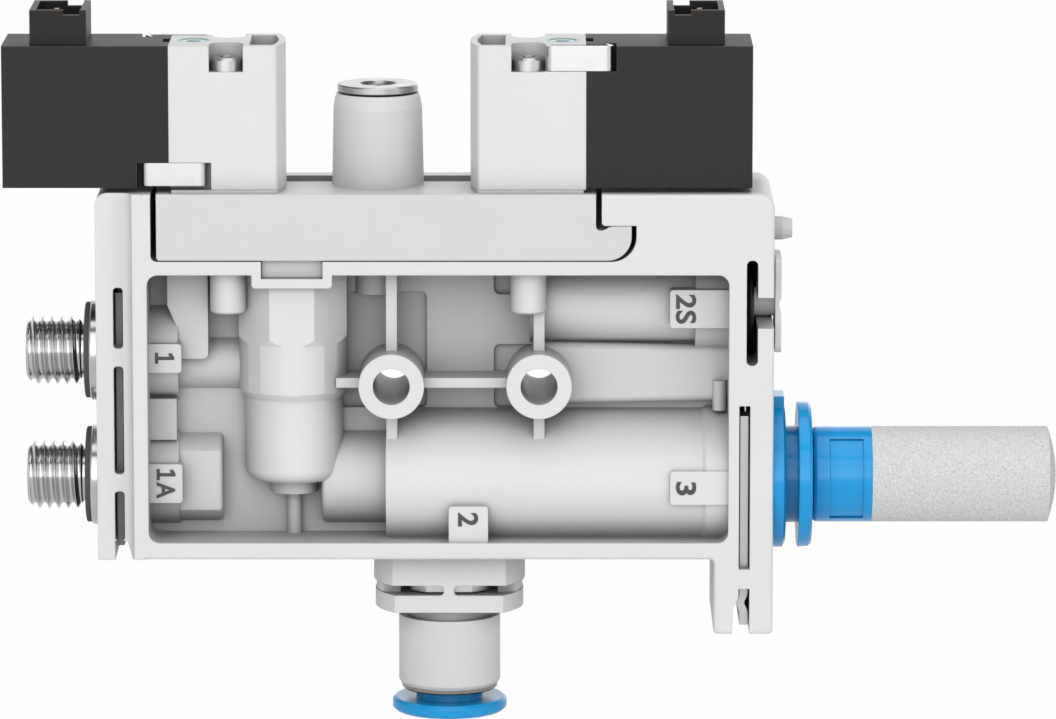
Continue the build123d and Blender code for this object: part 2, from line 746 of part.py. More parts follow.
def left_flange():
    """Return the recessed flange on the left with its hollow corner to the frame."""
    outline = Polyline(
        (FLANGE_LEFT, FLANGE_BOTTOM),
        (FRAME_LEFT - FLANGE_INSET, FLANGE_BOTTOM),
        (FRAME_LEFT - FLANGE_INSET, FRAME_BOTTOM),
        (FRAME_LEFT + 1, FRAME_BOTTOM),
        (FRAME_LEFT + 1, FRAME_TOP),
        (FLANGE_LEFT, FRAME_TOP),
        close=True,
    )
    face = make_face(outline)
    top_left = [v for v in face.vertices() if v.Y > FRAME_TOP - 0.1 and v.X < FLANGE_LEFT + 0.1]
    face = fillet(top_left, FLANGE_ROUND)
    flange = front_plate(face, FLANGE_INSET, DEPTH - FLANGE_INSET)
    corner = slab(
        FRAME_LEFT - FLANGE_INSET, FRAME_LEFT + 1, 0, DEPTH, FRAME_BOTTOM, FRAME_TOP
    )
    for y in (0, DEPTH):
        x = FRAME_LEFT - FLANGE_INSET
        corner = corner - rod_z(FLANGE_INSET, FRAME_BOTTOM, FRAME_TOP, x, y)
    return flange + corner


def frame_block():
    """Return the outer block of the housing and its foot, with soft edges."""
    outline = make_face(
        Polyline(
            (FRAME_LEFT, FRAME_TOP),
            (FRAME_LEFT, FRAME_BOTTOM),
            (FOOT_LEFT, FRAME_BOTTOM),
            (FOOT_LEFT, FOOT_BOTTOM),
            (FRAME_RIGHT, FOOT_BOTTOM),
            (FRAME_RIGHT, FRAME_TOP),
            close=True,
        )
    )
    corners = outline.vertices()
    foot = [v for v in corners if v.Y < FRAME_BOTTOM + 0.1 and v.X > FRAME_LEFT + 1]
    outline = fillet(foot, FOOT_CORNER)
    top_right = [v for v in outline.vertices() if v.Y > FRAME_TOP - 0.1 and v.X > 0]
    outline = fillet(top_right, FRAME_CORNER)
    block = front_plate(outline, 0, DEPTH)
    rims = [e for y in (0, DEPTH) for e in edges_at_depth(block, y)]
    return fillet(rims, EDGE_ROUND)


def left_clip_space():
    """Return the slots of the left flange and the passage of its clip."""
    x0, x1 = LEFT_SLOT_X - SLOT_WIDTH / 2, LEFT_SLOT_X + SLOT_WIDTH / 2
    skin = FLANGE_INSET + SLOT_SKIN
    space = slab(x0, x1, skin, DEPTH - skin, FRAME_BOTTOM - 1, LEFT_SLOT_TOP)
    for low, high in LEFT_WINDOWS_Z:
        window = round_rect(x0, x1, low, high, SLOT_CORNER)
        space = space + front_plate(window, 0, skin + 0.1)
        space = space + front_plate(window, DEPTH - skin - 0.1, DEPTH)
    gap_right = x0 + PRONG_GAP_W
    gap = make_face(
        Polyline(
            (x0, PRONG_GAP_TOP),
            (gap_right, PRONG_GAP_TOP),
            (gap_right + PRONG_GAP_FLARE, FLANGE_BOTTOM - 0.1),
            (x0, FLANGE_BOTTOM - 0.1),
            close=True,
        )
    )
    return space + front_plate(gap, 0, DEPTH)


def right_clip_space():
    """Return the slots above the foot and the passage of the cartridge clip."""
    x0, x1 = RIGHT_SLOT_X - RIGHT_SLOT_W / 2, RIGHT_SLOT_X + RIGHT_SLOT_W / 2
    passage = slab(x0, x1, 0, DEPTH, FOOT_BOTTOM - 1, RIGHT_SLOT_TOP)
    for y0 in (0, DEPTH - RIGHT_SLOT_SKIN):
        y1 = y0 + RIGHT_SLOT_SKIN
        passage = passage - slab(x0, x1, y0, y1, FOOT_SLOT_TOP, RIGHT_SLOT_BOTTOM)
    top = SNAP_Z + SNAP_HALF
    wide = x0 - SNAP_BULGE
    bulge = make_face(
        [
            Line((x0 + 0.1, top), (x0, top)),
            Spline(
                (x0, top),
                (wide, SNAP_Z - SNAP_HALF / 2),
                tangents=((0, -1), (0, -1)),
            ),
            Line((wide, SNAP_Z - SNAP_HALF / 2), (wide - SNAP_FLARE, FOOT_BOTTOM - 1)),
            Line((wide - SNAP_FLARE, FOOT_BOTTOM - 1), (x0 + 0.1, FOOT_BOTTOM - 1)),
            Line((x0 + 0.1, FOOT_BOTTOM - 1), (x0 + 0.1, top)),
        ]
    )
    return passage + front_plate(bulge, 0, DEPTH)


def plug_space():
    """Return the slot that takes the plug of port 2S from the front."""
    x0, x1 = PLUG_SLOT_LEFT, PLUG_SLOT_LEFT + PLUG_SLOT_W
    low, high = PORT_2S_Z - PLUG_SLOT_R, PORT_2S_Z + PLUG_SLOT_R
    front = front_plate(round_rect(x0, x1, low, high, PLUG_SLOT_W * 0.45), 0, MID_Y)
    seat = rod_x(PLUG_SLOT_R, x0, x1, MID_Y, PORT_2S_Z)
    z0, z1 = PORT_2S_Z - PLUG_WINDOW_HALF, PORT_2S_Z + PLUG_WINDOW_HALF
    window = slab(x1 - 0.1, FRAME_RIGHT + 1, 0, MID_Y, z0, z1)
    end = rod_x(PLUG_WINDOW_HALF, x1 - 0.1, FRAME_RIGHT + 1, MID_Y, PORT_2S_Z)
    return front + seat + window + end


def air_ways():
    """Return the bores of the ports and the passages between them."""
    nipple_r = NIPPLE_SHANK_R + NIPPLE_FIT
    feed_z = PORT_1_Z - CHANNEL_1_DROP
    bore_r = CARTRIDGE_R + CARTRIDGE_FIT
    neck_r = FITTING_NECK_R + FITTING_FIT
    ways = [
        rod_x(nipple_r, FLANGE_LEFT - 1, NIPPLE_SHANK_END + 0.1, MID_Y, PORT_1_Z),
        rod_x(nipple_r, FLANGE_LEFT - 1, NIPPLE_SHANK_END + 0.1, MID_Y, EJECTOR_Z),
        rod_x(CHECK_PASSAGE_R, NIPPLE_SHANK_END, CHAMBER_X, MID_Y, feed_z),
        rod_x(EJECTOR_BORE_R, EJECTOR_BORE_LEFT, CARTRIDGE_LEFT, MID_Y, EJECTOR_Z),
        rod_x(CHECK_PASSAGE_R, CHAMBER_X, EJECTOR_BORE_LEFT, MID_Y, CHECK_BORE_BOTTOM + 1.3),
        rod_x(bore_r, CARTRIDGE_LEFT - 0.1, FRAME_RIGHT + 1, MID_Y, EJECTOR_Z),
        rod_z(CHECK_BORE_R, CHECK_BORE_BOTTOM, CEILING_Z - 1.5, CHAMBER_X, CHAMBER_Y),
        rod_z(neck_r, BLOCK_BOTTOM - 1, FITTING_SHANK_TOP + 0.1, PORT_2_X, MID_Y),
        rod_z(FITTING_FLOW_R, FITTING_SHANK_TOP, EJECTOR_Z, PORT_2_X, MID_Y),
        rod_x(CHECK_PASSAGE_R, CHANNEL_2S_LEFT + 1, PLUG_SLOT_LEFT, MID_Y, PORT_2S_Z),
        rod_z(CROSS_PASSAGE_R, EJECTOR_Z, PORT_2S_Z, CROSS_PASSAGE_X, MID_Y),
    ]
    return ways


def screw_places():
    """Return the X and Y of the four valve screws."""
    places = []
    for side in (-1, 1):
        for x in (VALVE_LEFT_END - SCREW_U, VALVE_RIGHT_END + SCREW_U):
            places.append((x, VALVE_Y + side * SCREW_V))
    return places


def make_housing():
    """Return the moulded housing with its pockets, ports, slots, foot and peg."""
    body = frame_block()
    for front, back in ((-PAST, WEB_FRONT), (WEB_BACK, DEPTH + PAST)):
        pocket = round_rect(POCKET_LEFT, POCKET_RIGHT, POCKET_BOTTOM, CEILING_Z, POCKET_CORNER)
        body = body - front_plate(pocket, front, back)
    for recess in web_recesses():
        body = body - recess
    inside = slab(
        FRAME_LEFT + 0.5, FRAME_RIGHT - 0.5, 0, DEPTH, FRAME_BOTTOM + 0.05, BAR_TOP - 0.3
    )
    for form in pocket_forms():
        body = body + (form & inside)
    body = body + left_flange() + port_block()
    lip = round_rect(
        TAB_LEFT - FRAME_LIP, TAB_RIGHT + FRAME_LIP, TAB_BOTTOM - FRAME_LIP, BAR_TOP, LIP_CORNER
    )
    body = body + front_plate(lip, 0, TAB_THICK + LIP_BEHIND)
    body = body - front_plate(cover_outline(True), -PAST, DEPTH - BACK_WALL)
    body = body - slab(
        TAB_LEFT - TAB_GAP,
        TAB_RIGHT + TAB_GAP,
        -PAST,
        COVER_INSET + TAB_THICK + TAB_GAP,
        TAB_BOTTOM - TAB_GAP,
        BAR_TOP + 0.1,
    )
    peg = turned_x(
        [
            (FRAME_RIGHT - 0.5, 0),
            (FRAME_RIGHT - 0.5, PEG_R),
            (FRAME_RIGHT + PEG_LENGTH / 2, PEG_R),
            (FRAME_RIGHT + PEG_LENGTH, PEG_TIP_R),
            (FRAME_RIGHT + PEG_LENGTH, 0),
        ],
        MID_Y,
        PEG_Z,
    )
    body = body + peg
    for side in (-1, 1):
        body = body - rod_y(HOLE_R, -PAST, DEPTH + PAST, side * HOLE_PITCH / 2, 0)
    for way in air_ways():
        body = body - way
    body = body - left_clip_space() - right_clip_space() - plug_space()
    hole_r = SCREW_SHANK_R + SCREW_FIT
    for x, y in screw_places():
        body = body - rod_z(hole_r, SCREW_TIP_Z - 0.4, BAR_TOP + 1, x, y)
    return body


def make_cover():
    """Return the top cover with its hook, latch tab and flow-control boss."""
    cover = front_plate(cover_outline(False), COVER_INSET, COVER_BACK)
    tab_back = COVER_INSET + TAB_THICK
    tab_front = COVER_INSET + TAB_INSET
    tab = slab(TAB_LEFT, TAB_RIGHT, tab_front, tab_back, TAB_BOTTOM, COVER_BOTTOM + 0.5)
    boss = turned_z(
        [
            (0, COVER_BOTTOM + 1),
            (CONTROL_BASE_R, COVER_BOTTOM + 1),
            (CONTROL_BASE_R, FRAME_TOP),
            (CONTROL_TOP_R, CONTROL_SHOULDER_Z),
            (CONTROL_RIM_R + 0.15, CONTROL_TOP - 0.35),
            (CONTROL_RIM_R, CONTROL_TOP),
            (0, CONTROL_TOP),
        ],
        CONTROL_X,
        MID_Y,
    )
    cover = cover + tab
    strip_bottom = FRAME_TOP - STRIP_THICK
    x0, x1 = COVER_LEFT + STRIP_MARGIN, COVER_RIGHT - STRIP_MARGIN
    cover = cover - slab(x0, x1, STRIP_FRONT, DEPTH, strip_bottom, FRAME_TOP + 1)
    cover = cover + boss
    stem_r = CONTROL_STEM_R + CONTROL_FIT
    needle_r = CONTROL_NEEDLE_R + CONTROL_FIT
    cover = cover - rod_z(stem_r, CONTROL_STEM_BOTTOM - 0.3, CONTROL_TOP + 1, CONTROL_X, MID_Y)
    cover = cover - rod_z(
        needle_r, CONTROL_NEEDLE_BOTTOM - 0.4, CONTROL_STEM_BOTTOM, CONTROL_X, MID_Y
    )
    hole_r = SCREW_SHANK_R + SCREW_FIT
    for x, y in screw_places():
        cover = cover - rod_z(hole_r, COVER_BOTTOM - 1, FRAME_TOP + 1, x, y)
    return cover


def make_seal_strip():
    """Return the dark strip let into the back of the cover, cut round the boss."""
    x0, x1 = COVER_LEFT + STRIP_MARGIN, COVER_RIGHT - STRIP_MARGIN
    bottom = FRAME_TOP - STRIP_THICK
    strip = slab(x0, x1, STRIP_FRONT, COVER_BACK, bottom, FRAME_TOP)
    strip = strip - rod_z(CONTROL_BASE_R + 0.02, bottom - 1, FRAME_TOP + 1, CONTROL_X, MID_Y)
    hole_r = SCREW_SHANK_R + SCREW_FIT
    for x, y in screw_places():
        if y > STRIP_FRONT - 1:
            strip = strip - rod_z(hole_r, bottom - 1, FRAME_TOP + 1, x, y)
    return strip


def make_control_screw():
    """Return the flow-control screw: slotted disc, stem and needle."""
    disc_bottom = CONTROL_TOP + CONTROL_DISC_GAP
    disc_top = disc_bottom + CONTROL_DISC_H
    recess = disc_top - CONTROL_RECESS_DEEP
    screw = turned_z(
        [
            (0, CONTROL_NEEDLE_BOTTOM),
            (CONTROL_NEEDLE_R * 0.3, CONTROL_NEEDLE_BOTTOM),
            (CONTROL_NEEDLE_R, CONTROL_NEEDLE_BOTTOM + 2),
            (CONTROL_NEEDLE_R, CONTROL_STEM_BOTTOM),
            (CONTROL_STEM_R, CONTROL_STEM_BOTTOM),
            (CONTROL_STEM_R, disc_bottom),
            (CONTROL_DISC_R - 0.1, disc_bottom),
            (CONTROL_DISC_R, disc_bottom + 0.1),
            (CONTROL_DISC_R, disc_top - 0.12),
            (CONTROL_DISC_R - 0.12, disc_top),
            (CONTROL_RECESS_R, disc_top),
            (CONTROL_RECESS_R - 0.15, recess),
            (0, recess),
        ],
        CONTROL_X,
        MID_Y,
    )
    for dx, dy in ((CONTROL_SLOT_L, CONTROL_SLOT_W / 2), (CONTROL_SLOT_W / 2, CONTROL_SLOT_L)):
        screw = screw - slab(
            CONTROL_X - dx,
            CONTROL_X + dx,
            MID_Y - dy,
            MID_Y + dy,
            recess - CONTROL_SLOT_DEEP,
            disc_top + 1,
        )
    return screw


def valve_slab(u0, u1, v0, v1, z0, z1):
    """Return a block on the right valve: U along it, V from its middle depth."""
    x0 = VALVE_RIGHT_END
    return slab(x0 + u0, x0 + u1, VALVE_Y + v0, VALVE_Y + v1, z0, z1)


def valve_rod(radius, z0, z1, u, v):
    """Return an upright cylinder on the right valve."""
    return rod_z(radius, z0, z1, VALVE_RIGHT_END + u, VALVE_Y + v)


def to_left(shape):
    """Return a piece of the right valve turned half round to the left valve."""
    shift = Pos(VALVE_LEFT_END + VALVE_RIGHT_END, 2 * VALVE_Y, 0)
    return shift * Rot(0, 0, 180) * shape


def body_block(reach, short, z0, z1):
    """Return the valve body's outline with its bowed end, made solid."""
    half = VALVE_DEPTH / 2 + reach
    x0, x1 = VALVE_RIGHT_END, VALVE_RIGHT_END + BODY_LENGTH - short
    bow = x0 + BODY_END_BOW
    front, back = VALVE_Y - half, VALVE_Y + half
    outline = make_face(
        [
            Line((x1, front), (bow, front)),
            ThreePointArc((bow, front), (x0, VALVE_Y), (bow, back)),
            Line((bow, back), (x1, back)),
            Line((x1, back), (x1, front)),
        ]
    )
    corners = [v for v in outline.vertices() if v.X < bow + 0.1]
    return Pos(0, 0, z0) * extrude(fillet(corners, BODY_CORNER), z1 - z0)


def clip_space(low):
    """Return the space in body and coil that takes one metal clip."""
    half = VALVE_DEPTH / 2
    if low:
        u0, u1 = LOW_CLIP_U - LOW_CLIP_GAP, LOW_CLIP_U + LOW_CLIP_LENGTH + LOW_CLIP_GAP
        top = LOW_CLIP_BOTTOM + LOW_CLIP_HEIGHT + CLIP_TIGHT_GAP
        return valve_slab(u0, u1, half - CLIP_DEEP, half + 1, FRAME_TOP, top)
    u0 = CLIP_U - CLIP_SIDE_GAP
    u1 = CLIP_U + CLIP_LENGTH + CLIP_COIL_GAP
    bottom = VALVE_TOP - CLIP_HEIGHT - CLIP_TIGHT_GAP
    space = valve_slab(u0, u1, -half - 1, CLIP_DEEP - half, bottom, VALVE_TOP + 1)
    u0 = CLIP_U + CLIP_LENGTH - HOOK_POCKET_IN
    return space + valve_slab(
        u0, u1, -half, HOOK_POCKET_DEEP - half, bottom, VALVE_TOP + 1
    )


def make_valve_body():
    """Return the valve body with its pockets, bores and clip seats."""
    half = VALVE_DEPTH / 2
    body = body_block(0.0, 0.0, BODY_BOTTOM, VALVE_TOP)
    u1 = D_POCKET_U + D_POCKET_L
    floor = VALVE_TOP - D_POCKET_DEEP
    pocket = Pos(D_POCKET_U, 0, 0) * body_block(0.0, 0.0, floor, VALVE_TOP + 1)
    body = body - (pocket & valve_slab(0, u1, -D_POCKET_HALF, D_POCKET_HALF, floor, VALVE_TOP + 1))
    for side in (-1, 1):
        v = side * SCREW_V
        body = body - valve_rod(SCREW_POCKET_R, SCREW_SEAT_Z, VALVE_TOP + 1, SCREW_U, v)
        v0, v1 = sorted((v, side * (half + 1)))
        body = body - valve_slab(
            SCREW_U - SCREW_POCKET_R, SCREW_U + SCREW_POCKET_R, v0, v1, SCREW_SEAT_Z, VALVE_TOP + 1
        )
        shank_r = SCREW_SHANK_R + SCREW_FIT
        body = body - valve_rod(shank_r, BODY_BOTTOM - 1, VALVE_TOP, SCREW_U, v)
    sleeve_z = VALVE_TOP - OVERRIDE_DEEP
    body = body - valve_rod(OVERRIDE_R, sleeve_z, VALVE_TOP + 1, OVERRIDE_U, 0)
    button_end = VALVE_TOP - BUTTON_SET_BACK - BUTTON_LENGTH - BUTTON_TRAVEL - 0.1
    body = body - valve_rod(BUTTON_R + BUTTON_FIT, button_end, VALVE_TOP, OVERRIDE_U, 0)
    plug_x = VALVE_RIGHT_END + END_PLUG_DEEP
    body = body - rod_x(END_PLUG_R, VALVE_RIGHT_END - 1, plug_x, VALVE_Y, END_PLUG_Z)
    return body - clip_space(False) - clip_space(True)


def make_coil():
    """Return the moulded coil housing with its clip seats."""
    half = VALVE_DEPTH / 2
    coil = valve_slab(COIL_U, COIL_END_U, -half, half, COIL_BOTTOM, VALVE_TOP)
    pit_end = COIL_U + COIL_PIT_LENGTH
    pit_floor = VALVE_TOP - COIL_PIT_DEEP
    coil = coil - valve_slab(
        COIL_U, pit_end, COIL_PIT_FRONT, COIL_PIT_BACK, pit_floor, VALVE_TOP + 1
    )
    return coil - clip_space(False) - clip_space(True)


def bent_clip(u0, length, z0, height, side):
    """Return one metal clip: a front plate with both ends bent inwards."""
    half = VALVE_DEPTH / 2
    v_out, v_in = side * half, side * (half - CLIP_LEG)
    v_plate = side * (half - CLIP_THICK)
    plate = valve_slab(u0, u0 + length, *sorted((v_out, v_plate)), z0, z0 + height)
    first = valve_slab(u0, u0 + CLIP_THICK, *sorted((v_out, v_in)), z0, z0 + height)
    last = valve_slab(
        u0 + length - CLIP_THICK, u0 + length, *sorted((v_out, v_in)), z0, z0 + height
    )
    clip = plate + first + last
    face_y = VALVE_Y + v_out
    bends = [e for e in clip.edges().filter_by(Axis.Z) if abs(e.center().Y - face_y) < 0.01]
    return fillet(bends, CLIP_CORNER)


def make_valve_clips():
    """Return the two clips that hold the coil to the valve body."""
    high = bent_clip(CLIP_U, CLIP_LENGTH, VALVE_TOP - CLIP_HEIGHT, CLIP_HEIGHT, -1)
    end = VALVE_RIGHT_END + CLIP_U + CLIP_LENGTH
    tip = end - CLIP_HOOK_IN
    hook = make_face(
        Polyline(
            (end, VALVE_FRONT + CLIP_LEG),
            (tip, VALVE_FRONT + CLIP_HOOK_BACK),
            (tip - CLIP_HOOK_THICK, VALVE_FRONT + CLIP_HOOK_BACK),
            (end - CLIP_THICK, VALVE_FRONT + CLIP_LEG),
            close=True,
        )
    )
    high = high + Pos(0, 0, VALVE_TOP - CLIP_HEIGHT) * extrude(hook, CLIP_HEIGHT)
    low = bent_clip(LOW_CLIP_U, LOW_CLIP_LENGTH, LOW_CLIP_BOTTOM, LOW_CLIP_HEIGHT, 1)
    return Compound([high, low])


def make_valve_screws():
    """Return the two screws of the right valve."""
    screws = []
    top = SCREW_SEAT_Z + SCREW_HEAD_H
    for side in (-1, 1):
        screw = turned_z(
            [
                (0, SCREW_TIP_Z),
                (SCREW_SHANK_R - 0.3, SCREW_TIP_Z),
                (SCREW_SHANK_R, SCREW_TIP_Z + 0.5),
                (SCREW_SHANK_R, SCREW_SEAT_Z),
                (SCREW_HEAD_R, SCREW_SEAT_Z),
                (SCREW_HEAD_R, top - 0.25),
                (SCREW_HEAD_R - 0.25, top),
                (0, top),
            ],
            VALVE_RIGHT_END + SCREW_U,
            VALVE_Y + side * SCREW_V,
        )
        socket = extrude(RegularPolygon(SCREW_SOCKET_R, 6), SCREW_SOCKET_DEEP + 1)
        place = Pos(VALVE_RIGHT_END + SCREW_U, VALVE_Y + side * SCREW_V, top - SCREW_SOCKET_DEEP)
        screws.append(screw - place * socket)
    return Compound(screws)


def make_override_sleeve():
    """Return the sleeve round the manual override."""
    x = VALVE_RIGHT_END + OVERRIDE_U
    inner = BUTTON_R + BUTTON_FIT
    z0 = VALVE_TOP - OVERRIDE_DEEP
    return turned_z(
        [
            (inner, z0),
            (OVERRIDE_R, z0),
            (OVERRIDE_R, VALVE_TOP),
            (OVERRIDE_R - 0.25, VALVE_TOP),
            (OVERRIDE_R - 0.32, VALVE_TOP - 0.1),
            (inner, VALVE_TOP - 0.1),
        ],
        x,
        VALVE_Y,
    )


def make_override_button():
    """Return the button of the manual override."""
    top = VALVE_TOP - BUTTON_SET_BACK
    x = VALVE_RIGHT_END + OVERRIDE_U
    return turned_z(
        [
            (0, top - BUTTON_LENGTH),
            (BUTTON_R, top - BUTTON_LENGTH),
            (BUTTON_R, top - 0.1),
            (BUTTON_R - 0.1, top),
            (0, top),
        ],
        x,
        VALVE_Y,
    )


def make_end_plug():
    """Return the round plug in the end face of the valve body."""
    end = VALVE_RIGHT_END + END_PLUG_DEEP
    face = rod_x(END_PLUG_R - END_PLUG_GROOVE, VALVE_RIGHT_END - 1, end, VALVE_Y, END_PLUG_Z)
    seat = rod_x(END_PLUG_R, VALVE_RIGHT_END + END_PLUG_DEEP / 2, end, VALVE_Y, END_PLUG_Z)
    return (face & body_block(0.0, 0.0, BODY_BOTTOM, VALVE_TOP)) + seat


def make_gasket():
    """Return the gasket plate below the valve body."""
    plate = body_block(GASKET_REACH, GASKET_SHORT, FRAME_TOP, BODY_BOTTOM)
    for side in (-1, 1):
        shank_r = SCREW_SHANK_R + SCREW_FIT
        hole = valve_rod(shank_r, FRAME_TOP - 1, BODY_BOTTOM + 1, SCREW_U, side * SCREW_V)
        plate = plate - hole
    return plate


def make_plug_socket():
    """Return the plug socket on the coil, open at the top and notched."""
    half = SOCKET_WIDTH / 2
    u0, u1 = SOCKET_U, SOCKET_U + SOCKET_LENGTH
    box = valve_slab(u0, u1, -half, half, VALVE_TOP, SOCKET_TOP)
    wall = SOCKET_WALL
    box = box - valve_slab(
        u0 + wall, u1 - wall, wall - half, half - wall, VALVE_TOP + SOCKET_FLOOR, SOCKET_TOP + 1
    )
    notch_end = SOCKET_NOTCH_U + SOCKET_NOTCH_L
    box = box - valve_slab(
        SOCKET_NOTCH_U,
        notch_end,
        -half - 1,
        half + 1,
        SOCKET_TOP - SOCKET_NOTCH_DEEP,
        SOCKET_TOP + 1,
    )
    for side in (-1, 1):
        box = box - contact_pin(side)
    return box


def contact_pin(side):
    """Return one contact pin of the plug socket."""
    half = CONTACT_SIDE / 2
    v = side * CONTACT_PITCH / 2
    top = SOCKET_TOP - CONTACT_TOP_GAP
    return valve_slab(CONTACT_U - half, CONTACT_U + half, v - half, v + half, VALVE_TOP, top)


def make_contacts():
    """Return both contact pins."""
    return Compound([contact_pin(side) for side in (-1, 1)])


def thread_points():
    """Return the (x, radius) points of the thread, with an undercut behind it."""
    points = [(THREAD_TIP_X, THREAD_TIP_R)]
    start = THREAD_TIP_X + THREAD_PITCH * 0.55
    for turn in range(THREAD_TURNS):
        crest = start + turn * THREAD_PITCH
        flat = THREAD_PITCH * 0.08
        if turn:
            points.append((crest - THREAD_PITCH / 2, THREAD_ROOT_R))
        points.append((crest - flat, THREAD_R))
        points.append((crest + flat, THREAD_R))
    end = start + (THREAD_TURNS - 0.66) * THREAD_PITCH
    points.append((end, UNDERCUT_R))
    return points


def make_nipple(port_z):
    """Return a threaded nipple with its flange and the groove for its clip."""
    flange_right = FLANGE_LEFT - NIPPLE_FLANGE_GAP
    flange_left = flange_right - NIPPLE_FLANGE_T
    groove_left = LEFT_SLOT_X - NIPPLE_GROOVE_W / 2
    groove_right = LEFT_SLOT_X + NIPPLE_GROOVE_W / 2
    outline = [
        (THREAD_TIP_X, NIPPLE_BORE_R),
        *thread_points(),
        (flange_left, UNDERCUT_R),
        (flange_left, NIPPLE_FLANGE_R - 0.15),
        (flange_left + 0.15, NIPPLE_FLANGE_R),
        (flange_right, NIPPLE_FLANGE_R),
        (flange_right, NIPPLE_SHANK_R),
        (groove_left, NIPPLE_SHANK_R),
        (groove_left, NIPPLE_GROOVE_R),
        (groove_right, NIPPLE_GROOVE_R),
        (groove_right, NIPPLE_SHANK_R),
        (O_RING_X - O_RING_R, NIPPLE_SHANK_R),
        (O_RING_X - O_RING_R, NIPPLE_SHANK_R - 2 * O_RING_R),
        (O_RING_X + O_RING_R, NIPPLE_SHANK_R - 2 * O_RING_R),
        (O_RING_X + O_RING_R, NIPPLE_SHANK_R),
        (NIPPLE_SHANK_END, NIPPLE_SHANK_R),
        (NIPPLE_SHANK_END, NIPPLE_BORE_R),
    ]
    return turned_x(outline, MID_Y, port_z)


def make_nipple_seal(port_z):
    """Return the flat seal in front of a nipple flange."""
    left, right = SEAL_LEFT, SEAL_LEFT + SEAL_T
    inner = UNDERCUT_R + 0.05
    return turned_x(
        [(left, inner), (left, SEAL_R - 0.1), (left + 0.1, SEAL_R), (right, SEAL_R), (right, inner)],
        MID_Y,
        port_z,
    )


def make_nipple_o_rings():
    """Return the O-rings on the shanks of both nipples."""
    radius = NIPPLE_SHANK_R - O_RING_R
    rings = [ring_x(O_RING_R - 0.01, radius, O_RING_X, MID_Y, z) for z in (PORT_1_Z, EJECTOR_Z)]
    return Compound(rings)


def make_left_fork():
    """Return the flat clip that locks both nipples."""
    x0, x1 = LEFT_SLOT_X - FORK_THICK / 2, LEFT_SLOT_X + FORK_THICK / 2
    y0 = FLANGE_INSET + SLOT_SKIN + 0.1
    fork = slab(x0, x1, y0, DEPTH - y0, LEFT_FORK_BOTTOM, LEFT_FORK_TOP)
    half = NIPPLE_GROOVE_R + FORK_FIT
    floor_z = EJECTOR_Z
    fork = fork - slab(x0, x1, MID_Y - half, MID_Y + half, floor_z, LEFT_FORK_TOP + 1)
    return fork - rod_x(half, x0, x1, MID_Y, floor_z)


def make_right_fork():
    """Return the flat clip of the exhaust cartridge with its sprung lower end."""
    x0, x1 = RIGHT_SLOT_X - RIGHT_FORK_THICK / 2, RIGHT_SLOT_X + RIGHT_FORK_THICK / 2
    snap_top, snap_bottom = SNAP_Z + SNAP_HALF, SNAP_Z - SNAP_HALF
    bulge = SNAP_BULGE * 0.6
    left = [
        Line((x0, RIGHT_FORK_TOP), (x0, snap_top)),
        Spline((x0, snap_top), (x0 - bulge, SNAP_Z), (x0, snap_bottom), tangents=((0, -1), (0, -1))),
        Line((x0, snap_bottom), (x0, RIGHT_FORK_BOTTOM)),
    ]
    right = [
        Line((x1, RIGHT_FORK_BOTTOM), (x1, snap_bottom)),
        Spline((x1, snap_bottom), (x1 - bulge, SNAP_Z), (x1, snap_top), tangents=((0, 1), (0, 1))),
        Line((x1, snap_top), (x1, RIGHT_FORK_TOP)),
    ]
    bottom = Line((x0, RIGHT_FORK_BOTTOM), (x1, RIGHT_FORK_BOTTOM))
    top = Line((x1, RIGHT_FORK_TOP), (x0, RIGHT_FORK_TOP))
    outline = make_face([*left, bottom, *right, top])
    y0 = RIGHT_SLOT_SKIN + 0.1
    fork = front_plate(outline, y0, DEPTH - y0)
    tops = fork.faces().sort_by(Axis.Z)[-1].edges().filter_by(Axis.X)
    fork = chamfer(tops, RIGHT_FORK_BEVEL, RIGHT_FORK_BEVEL * 0.5)
    half = CARTRIDGE_GROOVE_R + FORK_FIT
    fork = fork - slab(x0, x1, MID_Y - half, MID_Y + half, EJECTOR_Z, RIGHT_FORK_TOP + 1)
    return fork - rod_x(half, x0, x1, MID_Y, EJECTOR_Z)


def make_fitting_clip():
    """Return the open snap ring that locks the push-in fitting."""
    z1 = BLOCK_SLOT_TOP - BLOCK_FORK_GAP
    z0 = z1 - FORK_THICK
    outer, inner = FITTING_CLIP_R, FITTING_GROOVE_R + FORK_FIT
    ring = rod_z(outer, z0, z1, PORT_2_X, MID_Y) - rod_z(inner, z0, z1, PORT_2_X, MID_Y)
    half = FITTING_CLIP_OPEN / 2
    ring = ring - slab(PORT_2_X - half, PORT_2_X + half, MID_Y, DEPTH, z0, z1)
    flat = BLOCK_HALF - BLOCK_BRIDGE_T - FORK_FIT
    x0, x1 = PORT_2_X - outer, PORT_2_X + outer
    return ring & slab(x0, x1, MID_Y - flat, MID_Y + flat, z0, z1)


